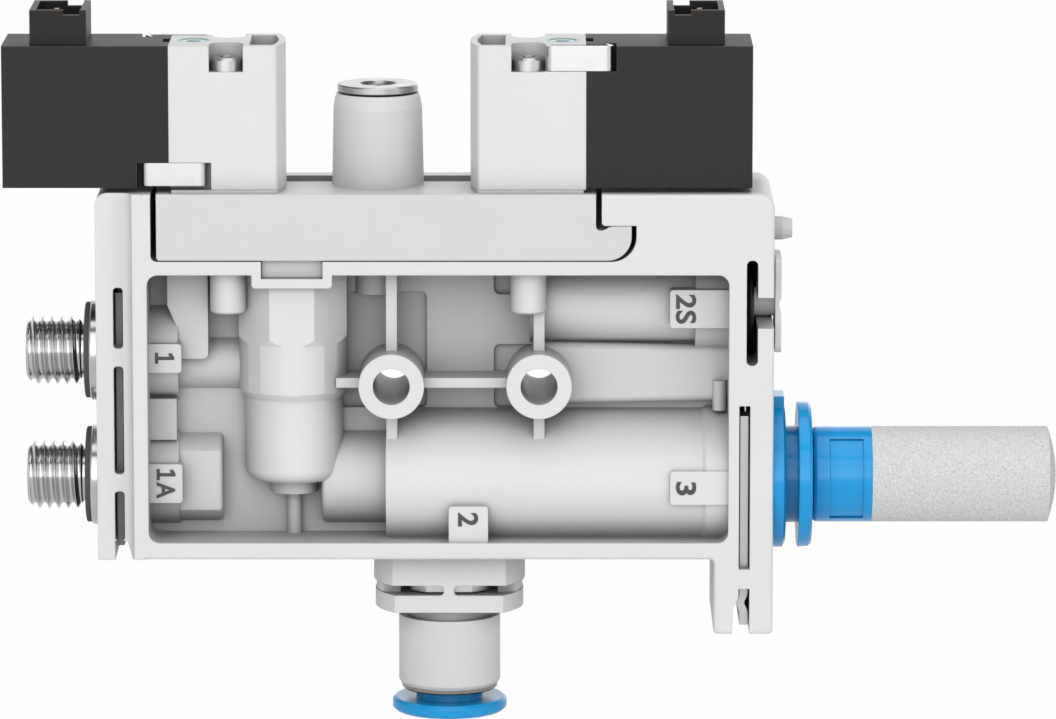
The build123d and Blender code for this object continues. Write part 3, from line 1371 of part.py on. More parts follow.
def make_push_in_body():
    """Return the body of the push-in fitting, with shank, groove and tube bore."""
    groove_top, groove_bottom = BLOCK_SLOT_TOP, BLOCK_SLOT_TOP - BLOCK_SLOT_H
    return turned_z(
        [
            (FITTING_FLOW_R, FITTING_SHANK_TOP),
            (FITTING_NECK_R, FITTING_SHANK_TOP),
            (FITTING_NECK_R, groove_top),
            (FITTING_GROOVE_R, groove_top),
            (FITTING_GROOVE_R, groove_bottom),
            (FITTING_NECK_R, groove_bottom),
            (FITTING_NECK_R, FITTING_TOP),
            (FITTING_R, FITTING_TOP),
            (FITTING_R, FITTING_BOTTOM + FITTING_CHAMFER_H),
            (FITTING_R - FITTING_CHAMFER, FITTING_BOTTOM),
            (FITTING_SOCKET_R + 0.3, FITTING_BOTTOM),
            (FITTING_SOCKET_R + 0.3, FITTING_BOTTOM + CAP_RING_SINK),
            (FITTING_SOCKET_R, FITTING_BOTTOM + CAP_RING_SINK),
            (FITTING_SOCKET_R, FITTING_SOCKET_TOP),
            (TUBE_BORE_R, FITTING_SOCKET_TOP),
            (TUBE_BORE_R, FITTING_STOP_Z),
            (FITTING_FLOW_R, FITTING_STOP_Z),
        ],
        PORT_2_X,
        MID_Y,
    )


def make_cap_ring():
    """Return the steel ring that closes the push-in body."""
    top = FITTING_BOTTOM
    inner = RELEASE_NECK_R + 0.12
    return turned_z(
        [
            (inner, top - CAP_RING_H),
            (CAP_RING_R - 0.15, top - CAP_RING_H),
            (CAP_RING_R, top - CAP_RING_H + 0.15),
            (CAP_RING_R, top),
            (FITTING_SOCKET_R + 0.28, top),
            (FITTING_SOCKET_R + 0.28, top + CAP_RING_SINK - 0.05),
            (inner, top + CAP_RING_SINK - 0.05),
        ],
        PORT_2_X,
        MID_Y,
    )


def make_release_ring():
    """Return the blue release ring of port 2 with its neck."""
    low = RELEASE_TOP - RELEASE_H
    return turned_z(
        [
            (TUBE_BORE_R, RELEASE_NECK_TOP),
            (RELEASE_NECK_R, RELEASE_NECK_TOP),
            (RELEASE_NECK_R, RELEASE_TOP),
            (RELEASE_R - RELEASE_ROUND, RELEASE_TOP),
            (RELEASE_R, RELEASE_TOP - RELEASE_ROUND),
            (RELEASE_R, low + RELEASE_ROUND),
            (RELEASE_R - RELEASE_ROUND, low),
            (TUBE_BORE_R + 0.5, low),
            (TUBE_BORE_R, low + 0.5),
        ],
        PORT_2_X,
        MID_Y,
    )


def make_grip_ring():
    """Return the toothed steel ring that holds the tube."""
    ring = turned_z(
        [
            (GRIP_INNER_R, GRIP_TOP),
            (GRIP_INNER_R, GRIP_TOP - 0.15),
            (FITTING_SOCKET_R - 0.15, GRIP_TOP - GRIP_H),
            (FITTING_SOCKET_R - 0.02, GRIP_TOP - GRIP_H),
            (FITTING_SOCKET_R - 0.02, GRIP_TOP - GRIP_H + 0.15),
        ],
        PORT_2_X,
        MID_Y,
    )
    return ring


def make_tube_seal():
    """Return the lip seal round the tube in the push-in fitting."""
    top = FITTING_SOCKET_TOP - 0.02
    low = top - TUBE_SEAL_H
    return turned_z(
        [
            (TUBE_BORE_R + 0.02, low + 0.35),
            (TUBE_BORE_R + 0.2, low),
            (FITTING_SOCKET_R - 0.02, low),
            (FITTING_SOCKET_R - 0.02, top),
            (TUBE_BORE_R + 0.15, top),
        ],
        PORT_2_X,
        MID_Y,
    )


def make_cartridge():
    """Return the exhaust cartridge: sleeve, clip groove and blue flange with its tab."""
    left, right = FRAME_RIGHT, FRAME_RIGHT + CARTRIDGE_FLANGE_T
    groove_left = RIGHT_SLOT_X - RIGHT_SLOT_W / 2
    groove_right = RIGHT_SLOT_X + RIGHT_SLOT_W / 2
    rim = CARTRIDGE_FLANGE_ROUND
    sleeve = turned_x(
        [
            (CARTRIDGE_LEFT, EXHAUST_TUBE_R - 0.8),
            (CARTRIDGE_LEFT, CARTRIDGE_R),
            (groove_left, CARTRIDGE_R),
            (groove_left, CARTRIDGE_GROOVE_R),
            (groove_right, CARTRIDGE_GROOVE_R),
            (groove_right, CARTRIDGE_R),
            (left, CARTRIDGE_R),
            (left, CARTRIDGE_FLANGE_R),
            (right - rim, CARTRIDGE_FLANGE_R),
            (right, CARTRIDGE_FLANGE_R - rim * 2),
            (right, CARTRIDGE_BORE_R),
            (CARTRIDGE_STOP_X, CARTRIDGE_BORE_R),
            (CARTRIDGE_STOP_X, EXHAUST_TUBE_R - 0.8),
        ],
        MID_Y,
        EJECTOR_Z,
    )
    tab = slab(
        left,
        left + CARTRIDGE_TAB_T,
        MID_Y - CARTRIDGE_TAB_HALF,
        MID_Y + CARTRIDGE_TAB_HALF,
        EJECTOR_Z + CARTRIDGE_R + 0.5,
        CARTRIDGE_TAB_TOP,
    )
    return sleeve + tab


def make_exhaust_ring():
    """Return the blue release ring of port 3 with its neck."""
    left, right = EXHAUST_RING_X, EXHAUST_RING_X + EXHAUST_RING_T
    inner = EXHAUST_TUBE_R + 0.05
    outer = EXHAUST_RING_R
    bend = EXHAUST_RING_ROUND
    return turned_x(
        [
            (EXHAUST_NECK_LEFT, inner),
            (EXHAUST_NECK_LEFT, EXHAUST_NECK_R),
            (left, EXHAUST_NECK_R),
            (left, outer - bend * 0.3),
            (left + bend * 0.3, outer),
            (right - bend, outer - bend * 0.2),
            (right, outer - bend),
            (right, inner),
        ],
        MID_Y,
        EJECTOR_Z,
    )


def make_silencer_holder():
    """Return the blue holder with its stem, spigot and bare recessed field."""
    bend = HOLDER_ROUND
    holder = turned_x(
        [
            (HOLDER_STEM_LEFT, HOLDER_FLOW_R),
            (HOLDER_STEM_LEFT, HOLDER_STEM_R),
            (HOLDER_LEFT, HOLDER_STEM_R),
            (HOLDER_LEFT, HOLDER_R - bend),
            (HOLDER_LEFT + bend * 0.3, HOLDER_R - bend * 0.3),
            (HOLDER_LEFT + bend, HOLDER_R),
            (HOLDER_RIGHT, HOLDER_R),
            (HOLDER_RIGHT, HOLDER_SPIGOT_R),
            (HOLDER_RIGHT + HOLDER_SPIGOT_LENGTH, HOLDER_SPIGOT_R),
            (HOLDER_RIGHT + HOLDER_SPIGOT_LENGTH, HOLDER_FLOW_R),
        ],
        MID_Y,
        EJECTOR_Z,
    )
    shell = rod_x(HOLDER_R + 1, HOLDER_FIELD_LEFT, HOLDER_FIELD_RIGHT, MID_Y, EJECTOR_Z)
    core_r = HOLDER_R - HOLDER_FIELD_DEEP
    shell = shell - rod_x(core_r, HOLDER_FIELD_LEFT, HOLDER_FIELD_RIGHT, MID_Y, EJECTOR_Z)
    window = slab(
        HOLDER_FIELD_LEFT,
        HOLDER_FIELD_RIGHT,
        MID_Y - HOLDER_R - 1,
        MID_Y,
        EJECTOR_Z - HOLDER_FIELD_HALF,
        EJECTOR_Z + HOLDER_FIELD_HALF,
    )
    return holder - (shell & window)


def make_silencer():
    """Return the porous silencer tube with its slightly domed closed end."""
    inner = HOLDER_R - SILENCER_WALL
    tip = SILENCER_RIGHT + SILENCER_DOME
    end_wall = SILENCER_RIGHT - SILENCER_END_WALL
    profile = [
        Line((HOLDER_RIGHT, inner), (HOLDER_RIGHT, HOLDER_R)),
        Line((HOLDER_RIGHT, HOLDER_R), (SILENCER_RIGHT, HOLDER_R)),
        Spline((SILENCER_RIGHT, HOLDER_R), (tip, 0), tangents=((2 * SILENCER_DOME, -HOLDER_R), (0, -1))),
        Line((tip, 0), (end_wall, 0)),
        Line((end_wall, 0), (end_wall, inner)),
        Line((end_wall, inner), (HOLDER_RIGHT, inner)),
    ]
    face = Plane.XZ * make_face(profile)
    return Pos(0, MID_Y, EJECTOR_Z) * revolve(face, Axis.X)


def make_2s_plug():
    """Return the plug of port 2S: disc, stud and outer plate with a finger notch."""
    disc_left = PLUG_SLOT_LEFT + (PLUG_SLOT_W - PLUG_DISC_T) / 2
    disc = rod_x(PLUG_DISC_R - 2 * PLUG_SEAL_R, disc_left, disc_left + PLUG_DISC_T, MID_Y, PORT_2S_Z)
    stud = rod_x(PLUG_STUD_R, disc_left, PLUG_PLATE_X + 0.1, MID_Y, PORT_2S_Z)
    x0, x1 = PLUG_PLATE_X, PLUG_PLATE_X + PLUG_PLATE_T
    half_h, half_w = PLUG_PLATE_H / 2, PLUG_PLATE_W / 2
    plate = slab(x0, x1, MID_Y - half_w, MID_Y + half_w, PORT_2S_Z - half_h, PORT_2S_Z + half_h)
    corners = plate.edges().filter_by(Axis.X)
    plate = fillet(corners, 0.8)
    notch = make_face(
        Polyline(
            (x1 + 0.1, PORT_2S_Z + PLUG_NOTCH_H),
            (x1 + 0.1, PORT_2S_Z - PLUG_NOTCH_H),
            (x1 - PLUG_NOTCH_DEEP, PORT_2S_Z),
            close=True,
        )
    )
    plate = plate - front_plate(notch, MID_Y - half_w - 1, MID_Y + half_w + 1)
    return disc + stud + plate


def make_2s_seal():
    """Return the black seal ring round the disc of the 2S plug."""
    x = PLUG_SLOT_LEFT + PLUG_SLOT_W / 2
    return ring_x(PLUG_SEAL_R, PLUG_DISC_R - PLUG_SEAL_R, x, MID_Y, PORT_2S_Z)


def make_jet_nozzle():
    """Return the jet nozzle with its waisted bore."""
    left = EJECTOR_BORE_LEFT
    right = left + JET_LENGTH
    throat = left + JET_LENGTH * 0.6
    return turned_x(
        [
            (left, JET_INLET_R),
            (left, EJECTOR_BORE_R - NOZZLE_FIT),
            (left + JET_LENGTH * 0.5, EJECTOR_BORE_R - NOZZLE_FIT),
            (left + JET_LENGTH * 0.5, JET_EXIT_R + 1.4),
            (right, JET_EXIT_R + 0.5),
            (right, JET_EXIT_R),
            (throat, JET_THROAT_R),
        ],
        MID_Y,
        EJECTOR_Z,
    )


def make_receiver_nozzle():
    """Return the receiver nozzle behind the suction gap."""
    left = EJECTOR_BORE_LEFT + JET_LENGTH + SUCTION_GAP
    outer = EJECTOR_BORE_R - NOZZLE_FIT
    return turned_x(
        [
            (left, RECEIVER_INLET_R),
            (left, outer),
            (left + RECEIVER_SHOULDER, outer),
            (left + RECEIVER_SHOULDER, RECEIVER_WAIST_R),
            (RECEIVER_RIGHT - RECEIVER_SHOULDER, RECEIVER_WAIST_R),
            (RECEIVER_RIGHT - RECEIVER_SHOULDER, outer),
            (RECEIVER_RIGHT, outer),
            (RECEIVER_RIGHT, RECEIVER_EXIT_R),
            (left + RECEIVER_SHOULDER, RECEIVER_THROAT_R),
        ],
        MID_Y,
        EJECTOR_Z,
    )


def make_check_seat():
    """Return the seat ring of the check valve."""
    low = CHECK_SEAT_TOP - CHECK_SEAT_H
    outer = CHECK_BORE_R - NOZZLE_FIT
    rim = CHECK_SEAT_BORE_R + CHECK_SEAT_RIM
    return turned_z(
        [
            (CHECK_SEAT_BORE_R, low),
            (outer, low),
            (outer, CHECK_SEAT_TOP - 0.4),
            (rim + 0.2, CHECK_SEAT_TOP - 0.4),
            (rim, CHECK_SEAT_TOP),
            (CHECK_SEAT_BORE_R, CHECK_SEAT_TOP),
        ],
        CHAMBER_X,
        CHAMBER_Y,
    )


def make_check_disc():
    """Return the rubber disc that lifts off the seat of the check valve."""
    low = CHECK_SEAT_TOP + CHECK_DISC_GAP
    return turned_z(
        [
            (0, low),
            (CHECK_DISC_R, low),
            (CHECK_DISC_R, low + CHECK_DISC_H - 0.2),
            (CHECK_DISC_R - 0.2, low + CHECK_DISC_H),
            (0, low + CHECK_DISC_H),
        ],
        CHAMBER_X,
        CHAMBER_Y,
    )


def write(name, shape):
    """Write one node to its own STEP file."""
    export_step(shape, f"parts/{name}.step")


VALVE_PIECES = {
    "valve_body": make_valve_body,
    "coil": make_coil,
    "valve_clips": make_valve_clips,
    "valve_screws": make_valve_screws,
    "override_sleeve": make_override_sleeve,
    "override_button": make_override_button,
    "end_plug": make_end_plug,
    "valve_gasket": make_gasket,
    "plug_socket": make_plug_socket,
    "plug_contacts": make_contacts,
}

SINGLE_PIECES = {
    "housing": make_housing,
    "top_cover": make_cover,
    "rear_seal_strip": make_seal_strip,
    "flow_control_screw": make_control_screw,
    "nipple_o_rings": make_nipple_o_rings,
    "nipple_clip": make_left_fork,
    "cartridge_clip": make_right_fork,
    "fitting_clip": make_fitting_clip,
    "push_in_body": make_push_in_body,
    "push_in_cap_ring": make_cap_ring,
    "push_in_release_ring": make_release_ring,
    "push_in_grip_ring": make_grip_ring,
    "push_in_tube_seal": make_tube_seal,
    "exhaust_cartridge": make_cartridge,
    "exhaust_release_ring": make_exhaust_ring,
    "silencer_holder": make_silencer_holder,
    "silencer_tube": make_silencer,
    "port_2s_plug": make_2s_plug,
    "port_2s_seal": make_2s_seal,
    "jet_nozzle": make_jet_nozzle,
    "receiver_nozzle": make_receiver_nozzle,
    "check_valve_seat": make_check_seat,
    "check_valve_disc": make_check_disc,
}

for piece_name, maker in VALVE_PIECES.items():
    right_piece = maker()
    write(f"{piece_name}_right", right_piece)
    write(f"{piece_name}_left", to_left(right_piece))

for piece_name, maker in SINGLE_PIECES.items():
    write(piece_name, maker())

for port_name, port_height in (("1", PORT_1_Z), ("1a", EJECTOR_Z)):
    write(f"nipple_{port_name}", make_nipple(port_height))
    write(f"nipple_seal_{port_name}", make_nipple_seal(port_height))
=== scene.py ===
"""Finishes, fine pieces, studio and camera of a compact vacuum ejector."""

import json
import logging
import math
from collections.abc import Callable
from dataclasses import dataclass
from enum import Enum
from typing import ClassVar, Protocol

import bpy
from mathutils import Matrix, Vector


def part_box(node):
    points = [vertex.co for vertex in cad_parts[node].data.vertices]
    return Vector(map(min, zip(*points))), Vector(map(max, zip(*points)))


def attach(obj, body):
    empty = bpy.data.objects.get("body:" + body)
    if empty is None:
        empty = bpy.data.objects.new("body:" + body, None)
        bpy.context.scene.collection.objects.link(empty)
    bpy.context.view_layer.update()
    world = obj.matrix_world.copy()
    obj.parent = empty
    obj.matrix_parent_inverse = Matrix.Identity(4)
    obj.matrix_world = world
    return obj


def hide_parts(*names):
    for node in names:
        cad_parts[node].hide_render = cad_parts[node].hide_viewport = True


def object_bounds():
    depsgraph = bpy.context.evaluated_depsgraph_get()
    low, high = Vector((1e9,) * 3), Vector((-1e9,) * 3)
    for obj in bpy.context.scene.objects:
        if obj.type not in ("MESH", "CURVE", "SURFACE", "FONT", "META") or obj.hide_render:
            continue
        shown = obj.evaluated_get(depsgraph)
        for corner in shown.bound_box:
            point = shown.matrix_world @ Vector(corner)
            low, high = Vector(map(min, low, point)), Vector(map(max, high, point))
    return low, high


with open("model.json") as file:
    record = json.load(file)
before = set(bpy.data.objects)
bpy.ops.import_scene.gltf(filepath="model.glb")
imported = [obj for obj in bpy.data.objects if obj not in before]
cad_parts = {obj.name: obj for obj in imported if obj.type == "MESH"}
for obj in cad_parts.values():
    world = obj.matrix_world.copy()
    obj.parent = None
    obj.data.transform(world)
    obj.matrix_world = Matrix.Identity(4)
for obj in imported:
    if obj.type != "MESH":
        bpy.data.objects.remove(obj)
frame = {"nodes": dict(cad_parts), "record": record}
cad_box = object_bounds()
log = logging.getLogger("ejector")

Colour = tuple[float, float, float]

MM = 0.001
WHITE = (1.0, 1.0, 1.0, 1.0)

# How near points are merged when a piece is closed, and when one is wound or copied.
CLOSE_NEAR = 0.001 * MM
MERGE_NEAR = 0.0005 * MM
# How near a point counts as on the plane of a cut.
CUT_NEAR = 0.0001 * MM

# A screen's colour curve: a straight foot, and a power above it.
SRGB_FOOT = 0.04045
SRGB_FOOT_SLOPE = 12.92
SRGB_LIFT = 0.055
SRGB_POWER = 2.4


def srgb(red: int, green: int, blue: int) -> Colour:
    """Turn a colour as seen on a screen into the linear colour of a shader.

    Args:
        red: Red from 0 to 255.
        green: Green from 0 to 255.
        blue: Blue from 0 to 255.

    Returns:
        The three linear parts, from 0 to 1.
    """

    def linear(part: int) -> float:
        """Turn one part into linear light.

        Args:
            part: The part from 0 to 255.

        Returns:
            The part from 0 to 1.
        """
        value = part / 255
        if value <= SRGB_FOOT:
            return value / SRGB_FOOT_SLOPE
        return ((value + SRGB_LIFT) / (1 + SRGB_LIFT)) ** SRGB_POWER

    return linear(red), linear(green), linear(blue)


def darker(colour: Colour, share: float) -> Colour:
    """Return a colour with a share of its light taken away."""
    red, green, blue = (part * (1 - share) for part in colour)
    return red, green, blue


def brighter(colour: Colour, share: float) -> Colour:
    """Return a colour with a share of its light added, up to full light."""
    red, green, blue = (min(1.0, part * (1 + share)) for part in colour)
    return red, green, blue


def paler(colour: Colour, share: float) -> Colour:
    """Return a colour moved a share of the way to white."""
    red, green, blue = (part + (1 - part) * share for part in colour)
    return red, green, blue


class Graph:
    """A node tree with short calls that add nodes and join them."""

    MIX_FIRST: ClassVar[int] = 6
    MIX_SECOND: ClassVar[int] = 7
    MIX_RESULT: ClassVar[int] = 2

    def __init__(self, tree: bpy.types.NodeTree) -> None:
        """Keep the tree that the calls work on.

        Args:
            tree: The node tree of a material or of a group.
        """
        self.tree = tree

    def add(self, kind: str, **settings: object) -> bpy.types.Node:
        """Add one node.

        Args:
            kind: The node's type name.
            **settings: Values for the node's own properties.

        Returns:
            The new node.
        """
        node = self.tree.nodes.new(kind)
        for name, value in settings.items():
            setattr(node, name, value)
        return node

    def feed(self, node: bpy.types.Node, socket: str | int, source: object) -> None:
        """Join a socket to another, or give it a constant.

        Args:
            node: The node whose input is fed.
            socket: The input's name or number.
            source: An output socket, or a plain value.
        """
        target = node.inputs[socket]
        if isinstance(source, bpy.types.NodeSocket):
            self.tree.links.new(source, target)
        else:
            target.default_value = source

    def maths(
        self, operation: str, first: object, second: object = 0.0
    ) -> bpy.types.NodeSocket:
        """Add one Math node and return its output.

        Args:
            operation: The operation's name, such as MULTIPLY.
            first: The first socket or number.
            second: The second socket or number.

        Returns:
            The output socket.
        """
        node = self.add("ShaderNodeMath", operation=operation)
        self.feed(node, 0, first)
        self.feed(node, 1, second)
        return node.outputs[0]

    def blend(
        self, amount: object, first: object, second: object
    ) -> bpy.types.NodeSocket:
        """Mix two colours.

        Args:
            amount: The share of the second colour.
            first: The first colour or socket.
            second: The second colour or socket.

        Returns:
            The mixed colour.
        """
        node = self.add("ShaderNodeMix", data_type="RGBA")
        self.feed(node, 0, amount)
        for socket, source in ((self.MIX_FIRST, first), (self.MIX_SECOND, second)):
            if isinstance(source, tuple):
                source = (*source, 1.0)
            self.feed(node, socket, source)
        return node.outputs[self.MIX_RESULT]

    def spread(self, value: object, low: float, high: float) -> bpy.types.NodeSocket:
        """Stretch a value from 0..1 to low..high.

        Args:
            value: The socket to stretch.
            low: What 0 becomes.
            high: What 1 becomes.

        Returns:
            The stretched value.
        """
        node = self.add("ShaderNodeMapRange")
        self.feed(node, "Value", value)
        self.feed(node, "To Min", low)
        self.feed(node, "To Max", high)
        return node.outputs[0]

    def place(self) -> bpy.types.NodeSocket:
        """Return the place on a piece, in metres."""
        return self.add("ShaderNodeTexCoord").outputs["Object"]

    def noise(
        self, place: bpy.types.NodeSocket, scale: object, detail: float = 2.0
    ) -> bpy.types.NodeSocket:
        """Add a Noise texture.

        Args:
            place: Where it is read.
            scale: Its scale, a socket or a number.
            detail: How many finer layers it has.

        Returns:
            Its value, from 0 to 1.
        """
        node = self.add("ShaderNodeTexNoise")
        self.feed(node, "Vector", place)
        self.feed(node, "Scale", scale)
        self.feed(node, "Detail", detail)
        return node.outputs[0]

    def bump(
        self,
        shader: bpy.types.Node,
        height: bpy.types.NodeSocket,
        strength: float,
        depth: float,
        under: bpy.types.NodeSocket | None = None,
    ) -> None:
        """Give a shader a bumpy surface.

        Args:
            shader: The shader.
            height: The height over the surface.
            strength: How much of the bump shows.
            depth: How far a height of 1 stands out, in metres.
            under: The normal that the bump lies on, if it isn't the surface's own.
        """
        node = self.add("ShaderNodeBump")
        self.feed(node, "Strength", strength)
        self.feed(node, "Distance", depth)
        self.feed(node, "Height", height)
        if under is not None:
            self.feed(node, "Normal", under)
        self.feed(shader, "Normal", node.outputs[0])


class Effects:
    """Shader groups that several finishes share. Each is built once."""

    SAMPLES: ClassVar[int] = 6
    # Share of the scale, and detail, of each layer of the grain.
    GRAIN_LAYERS: ClassVar[tuple[tuple[float, float], ...]] = ((1.0, 3.0), (0.31, 1.0))
    TONE_DETAIL: ClassVar[float] = 4.0
    # Tool lines are long along Y and Z and close along X.
    LINE_STRETCH: ClassVar[tuple[float, float, float]] = (1.0, 0.06, 0.06)

    def __init__(self) -> None:
        """Build every group."""
        self.grain = self._grain()
        self.edges = self._edges()
        self.recess = self._recess()
        self.turning = self._turning()

    @staticmethod
    def _group(
        name: str, inputs: dict[str, float], outputs: dict[str, str]
    ) -> tuple[bpy.types.NodeTree, Graph, bpy.types.Node, bpy.types.Node]:
        """Start a group with its named sockets.

        Args:
            name: The group's name.
            inputs: Name and first value of each number that goes in.
            outputs: Name and socket type of each value that comes out.

        Returns:
            The tree, its graph, its input node and its output node.
        """
        tree = bpy.data.node_groups.new(name, "ShaderNodeTree")
        for label, value in inputs.items():
            socket = tree.interface.new_socket(
                label, in_out="INPUT", socket_type="NodeSocketFloat"
            )
            socket.default_value = value
        for label, kind in outputs.items():
            tree.interface.new_socket(label, in_out="OUTPUT", socket_type=kind)
        graph = Graph(tree)
        return tree, graph, graph.add("NodeGroupInput"), graph.add("NodeGroupOutput")

    def _grain(self) -> bpy.types.NodeTree:
        """Build the moulded grain: fine height, and a slow change of tone.

        Returns:
            The group.
        """
        tree, graph, start, end = self._group(
            "moulded_grain",
            {"Grain Scale": 6000.0, "Tone Scale": 60.0},
            {"Height": "NodeSocketFloat", "Tone": "NodeSocketFloat"},
        )
        place = graph.place()
        heights = [
            graph.noise(place, graph.maths("MULTIPLY", start.outputs[0], share), detail)
            for share, detail in self.GRAIN_LAYERS
        ]
        height = graph.maths("MULTIPLY", graph.maths("ADD", *heights), 1 / len(heights))
        graph.feed(end, "Height", height)
        graph.feed(end, "Tone", graph.noise(place, start.outputs[1], self.TONE_DETAIL))
        return tree

    def _edges(self) -> bpy.types.NodeTree:
        """Build rounded normals, and a mask that is 1 along the edges.

        Returns:
            The group.
        """
        tree, graph, start, end = self._group(
            "soft_edges",
            {"Radius": 0.15 * MM, "Gain": 4.0},
            {"Normal": "NodeSocketVector", "Mask": "NodeSocketFloat"},
        )
        bevel = graph.add("ShaderNodeBevel", samples=self.SAMPLES)
        graph.feed(bevel, "Radius", start.outputs[0])
        geometry = graph.add("ShaderNodeNewGeometry")
        dot = graph.add("ShaderNodeVectorMath", operation="DOT_PRODUCT")
        graph.feed(dot, 0, bevel.outputs[0])
        graph.feed(dot, 1, geometry.outputs["Normal"])
        turned = graph.maths("SUBTRACT", 1.0, dot.outputs["Value"])
        gained = graph.maths("MULTIPLY", turned, start.outputs[1])
        graph.feed(end, "Normal", bevel.outputs[0])
        graph.feed(end, "Mask", graph.maths("MINIMUM", gained, 1.0))
        return tree

    def _recess(self) -> bpy.types.NodeTree:
        """Build a mask that is 1 in deep corners and pockets, from ambient occlusion, for
        painted shade there.

        Returns:
            The group.
        """
        tree, graph, start, end = self._group(
            "recess_painted_shade",
            {"Reach": 3.0 * MM, "Pocket Reach": 3.0 * MM},
            {"Mask": "NodeSocketFloat"},
        )
        masks = []
        for own_only, reach in ((False, start.outputs[0]), (True, start.outputs[1])):
            shade = graph.add(
                "ShaderNodeAmbientOcclusion", samples=self.SAMPLES, only_local=own_only
            )
            graph.feed(shade, "Distance", reach)
            masks.append(graph.maths("SUBTRACT", 1.0, shade.outputs["AO"]))
        graph.feed(end, "Mask", graph.maths("MAXIMUM", *masks))
        return tree

    def _turning(self) -> bpy.types.NodeTree:
        """Build fine lines from a cutter or a roller, and a broken sheen.

        Returns:
            The group.
        """
        tree, graph, start, end = self._group(
            "tool_lines",
            {"Line Scale": 9000.0, "Sheen Scale": 500.0},
            {"Height": "NodeSocketFloat", "Sheen": "NodeSocketFloat"},
        )
        place = graph.place()
        stretch = graph.add("ShaderNodeMapping")
        graph.feed(stretch, "Vector", place)
        graph.feed(stretch, "Scale", Vector(self.LINE_STRETCH))
        graph.feed(end, "Height", graph.noise(stretch.outputs[0], start.outputs[0]))
        graph.feed(end, "Sheen", graph.noise(place, start.outputs[1]))
        return tree


class Finish(Protocol):
    """What every finish can do: make its own material."""

    def material(self, effects: Effects) -> bpy.types.Material:
        """Return the finished material."""


def blank_material(name: str) -> tuple[bpy.types.Material, Graph, bpy.types.Node]:
    """Start a material with nothing but its shader.

    Args:
        name: The material's name.

    Returns:
        The material, its graph and its Principled shader.
    """
    material = bpy.data.materials.new(name)
    material.use_nodes = True
    graph = Graph(material.node_tree)
    shader = material.node_tree.nodes["Principled BSDF"]
    return material, graph, shader


def place_group(
    graph: Graph, group: bpy.types.NodeTree, **values: float
) -> bpy.types.Node:
    """Put a shared group into a material.

    Args:
        graph: The material's graph.
        group: The shared group.
        **values: Input names, with underscores for spaces, and their values.

    Returns:
        The group's node.
    """
    node = graph.add("ShaderNodeGroup", node_tree=group)
    for label, value in values.items():
        graph.feed(node, label.replace("_", " "), value)
    return node


@dataclass(frozen=True)
class MouldedResin:
    """A moulded plastic with fine grain, soft edges with painted edge light, and painted
    shade in its corners and pockets.
    """

    name: str
    colour: Colour
    roughness: float = 0.45
    rough_span: float = 0.06
    grain_mm: float = 0.16
    grain_depth: float = 0.12
    grain_height_mm: float = 0.02
    tone_scale: float = 70.0
    mottle: float = 0.035
    edge_radius_mm: float = 0.14
    # Above 0 paints a highlight along the edges, below 0 paints shade there.
    painted_edge_light: float = 0.05
    edge_gain: float = 4.0
    # How dark the painted shade in corners and pockets is.
    painted_recess_shade: float = 0.74
    reach_mm: float = 3.0
    pocket_mm: float = 22.0
    specular: float = 0.4

    def _painted_edge_colour(self) -> Colour:
        """Make the painted edge colour: paler as a painted highlight, or darker as painted
        shade for a value below 0.

        Returns:
            The colour of the edges.
        """
        if self.painted_edge_light < 0:
            return darker(self.colour, -self.painted_edge_light)
        return paler(self.colour, self.painted_edge_light)

    def material(self, effects: Effects) -> bpy.types.Material:
        """Make the material.

        Args:
            effects: The shared shader groups.

        Returns:
            The finished material.
        """
        material, graph, shader = blank_material(self.name)
        grain = place_group(
            graph,
            effects.grain,
            Grain_Scale=1 / (self.grain_mm * MM),
            Tone_Scale=self.tone_scale,
        )
        edges = place_group(
            graph, effects.edges, Radius=self.edge_radius_mm * MM, Gain=self.edge_gain
        )
        recess = place_group(
            graph,
            effects.recess,
            Reach=self.reach_mm * MM,
            Pocket_Reach=self.pocket_mm * MM,
        )
        tone = graph.blend(
            grain.outputs["Tone"],
            darker(self.colour, self.mottle),
            brighter(self.colour, self.mottle),
        )
        # Painted highlight, or painted shade, along the edges.
        with_painted_edge = graph.blend(edges.outputs["Mask"], tone, self._painted_edge_colour())
        # Painted shade in corners and pockets, from the ambient-occlusion mask.
        painted_shade_colour = darker(self.colour, self.painted_recess_shade)
        final = graph.blend(recess.outputs["Mask"], with_painted_edge, painted_shade_colour)
        graph.feed(shader, "Base Color", final)
        rough = graph.spread(
            grain.outputs["Tone"],
            self.roughness - self.rough_span,
            self.roughness + self.rough_span,
        )
        graph.feed(shader, "Roughness", rough)
        graph.feed(shader, "Specular IOR Level", self.specular)
        graph.bump(
            shader,
            height=grain.outputs["Height"],
            strength=self.grain_depth,
            depth=self.grain_height_mm * MM,
            under=edges.outputs["Normal"],
        )
        return material


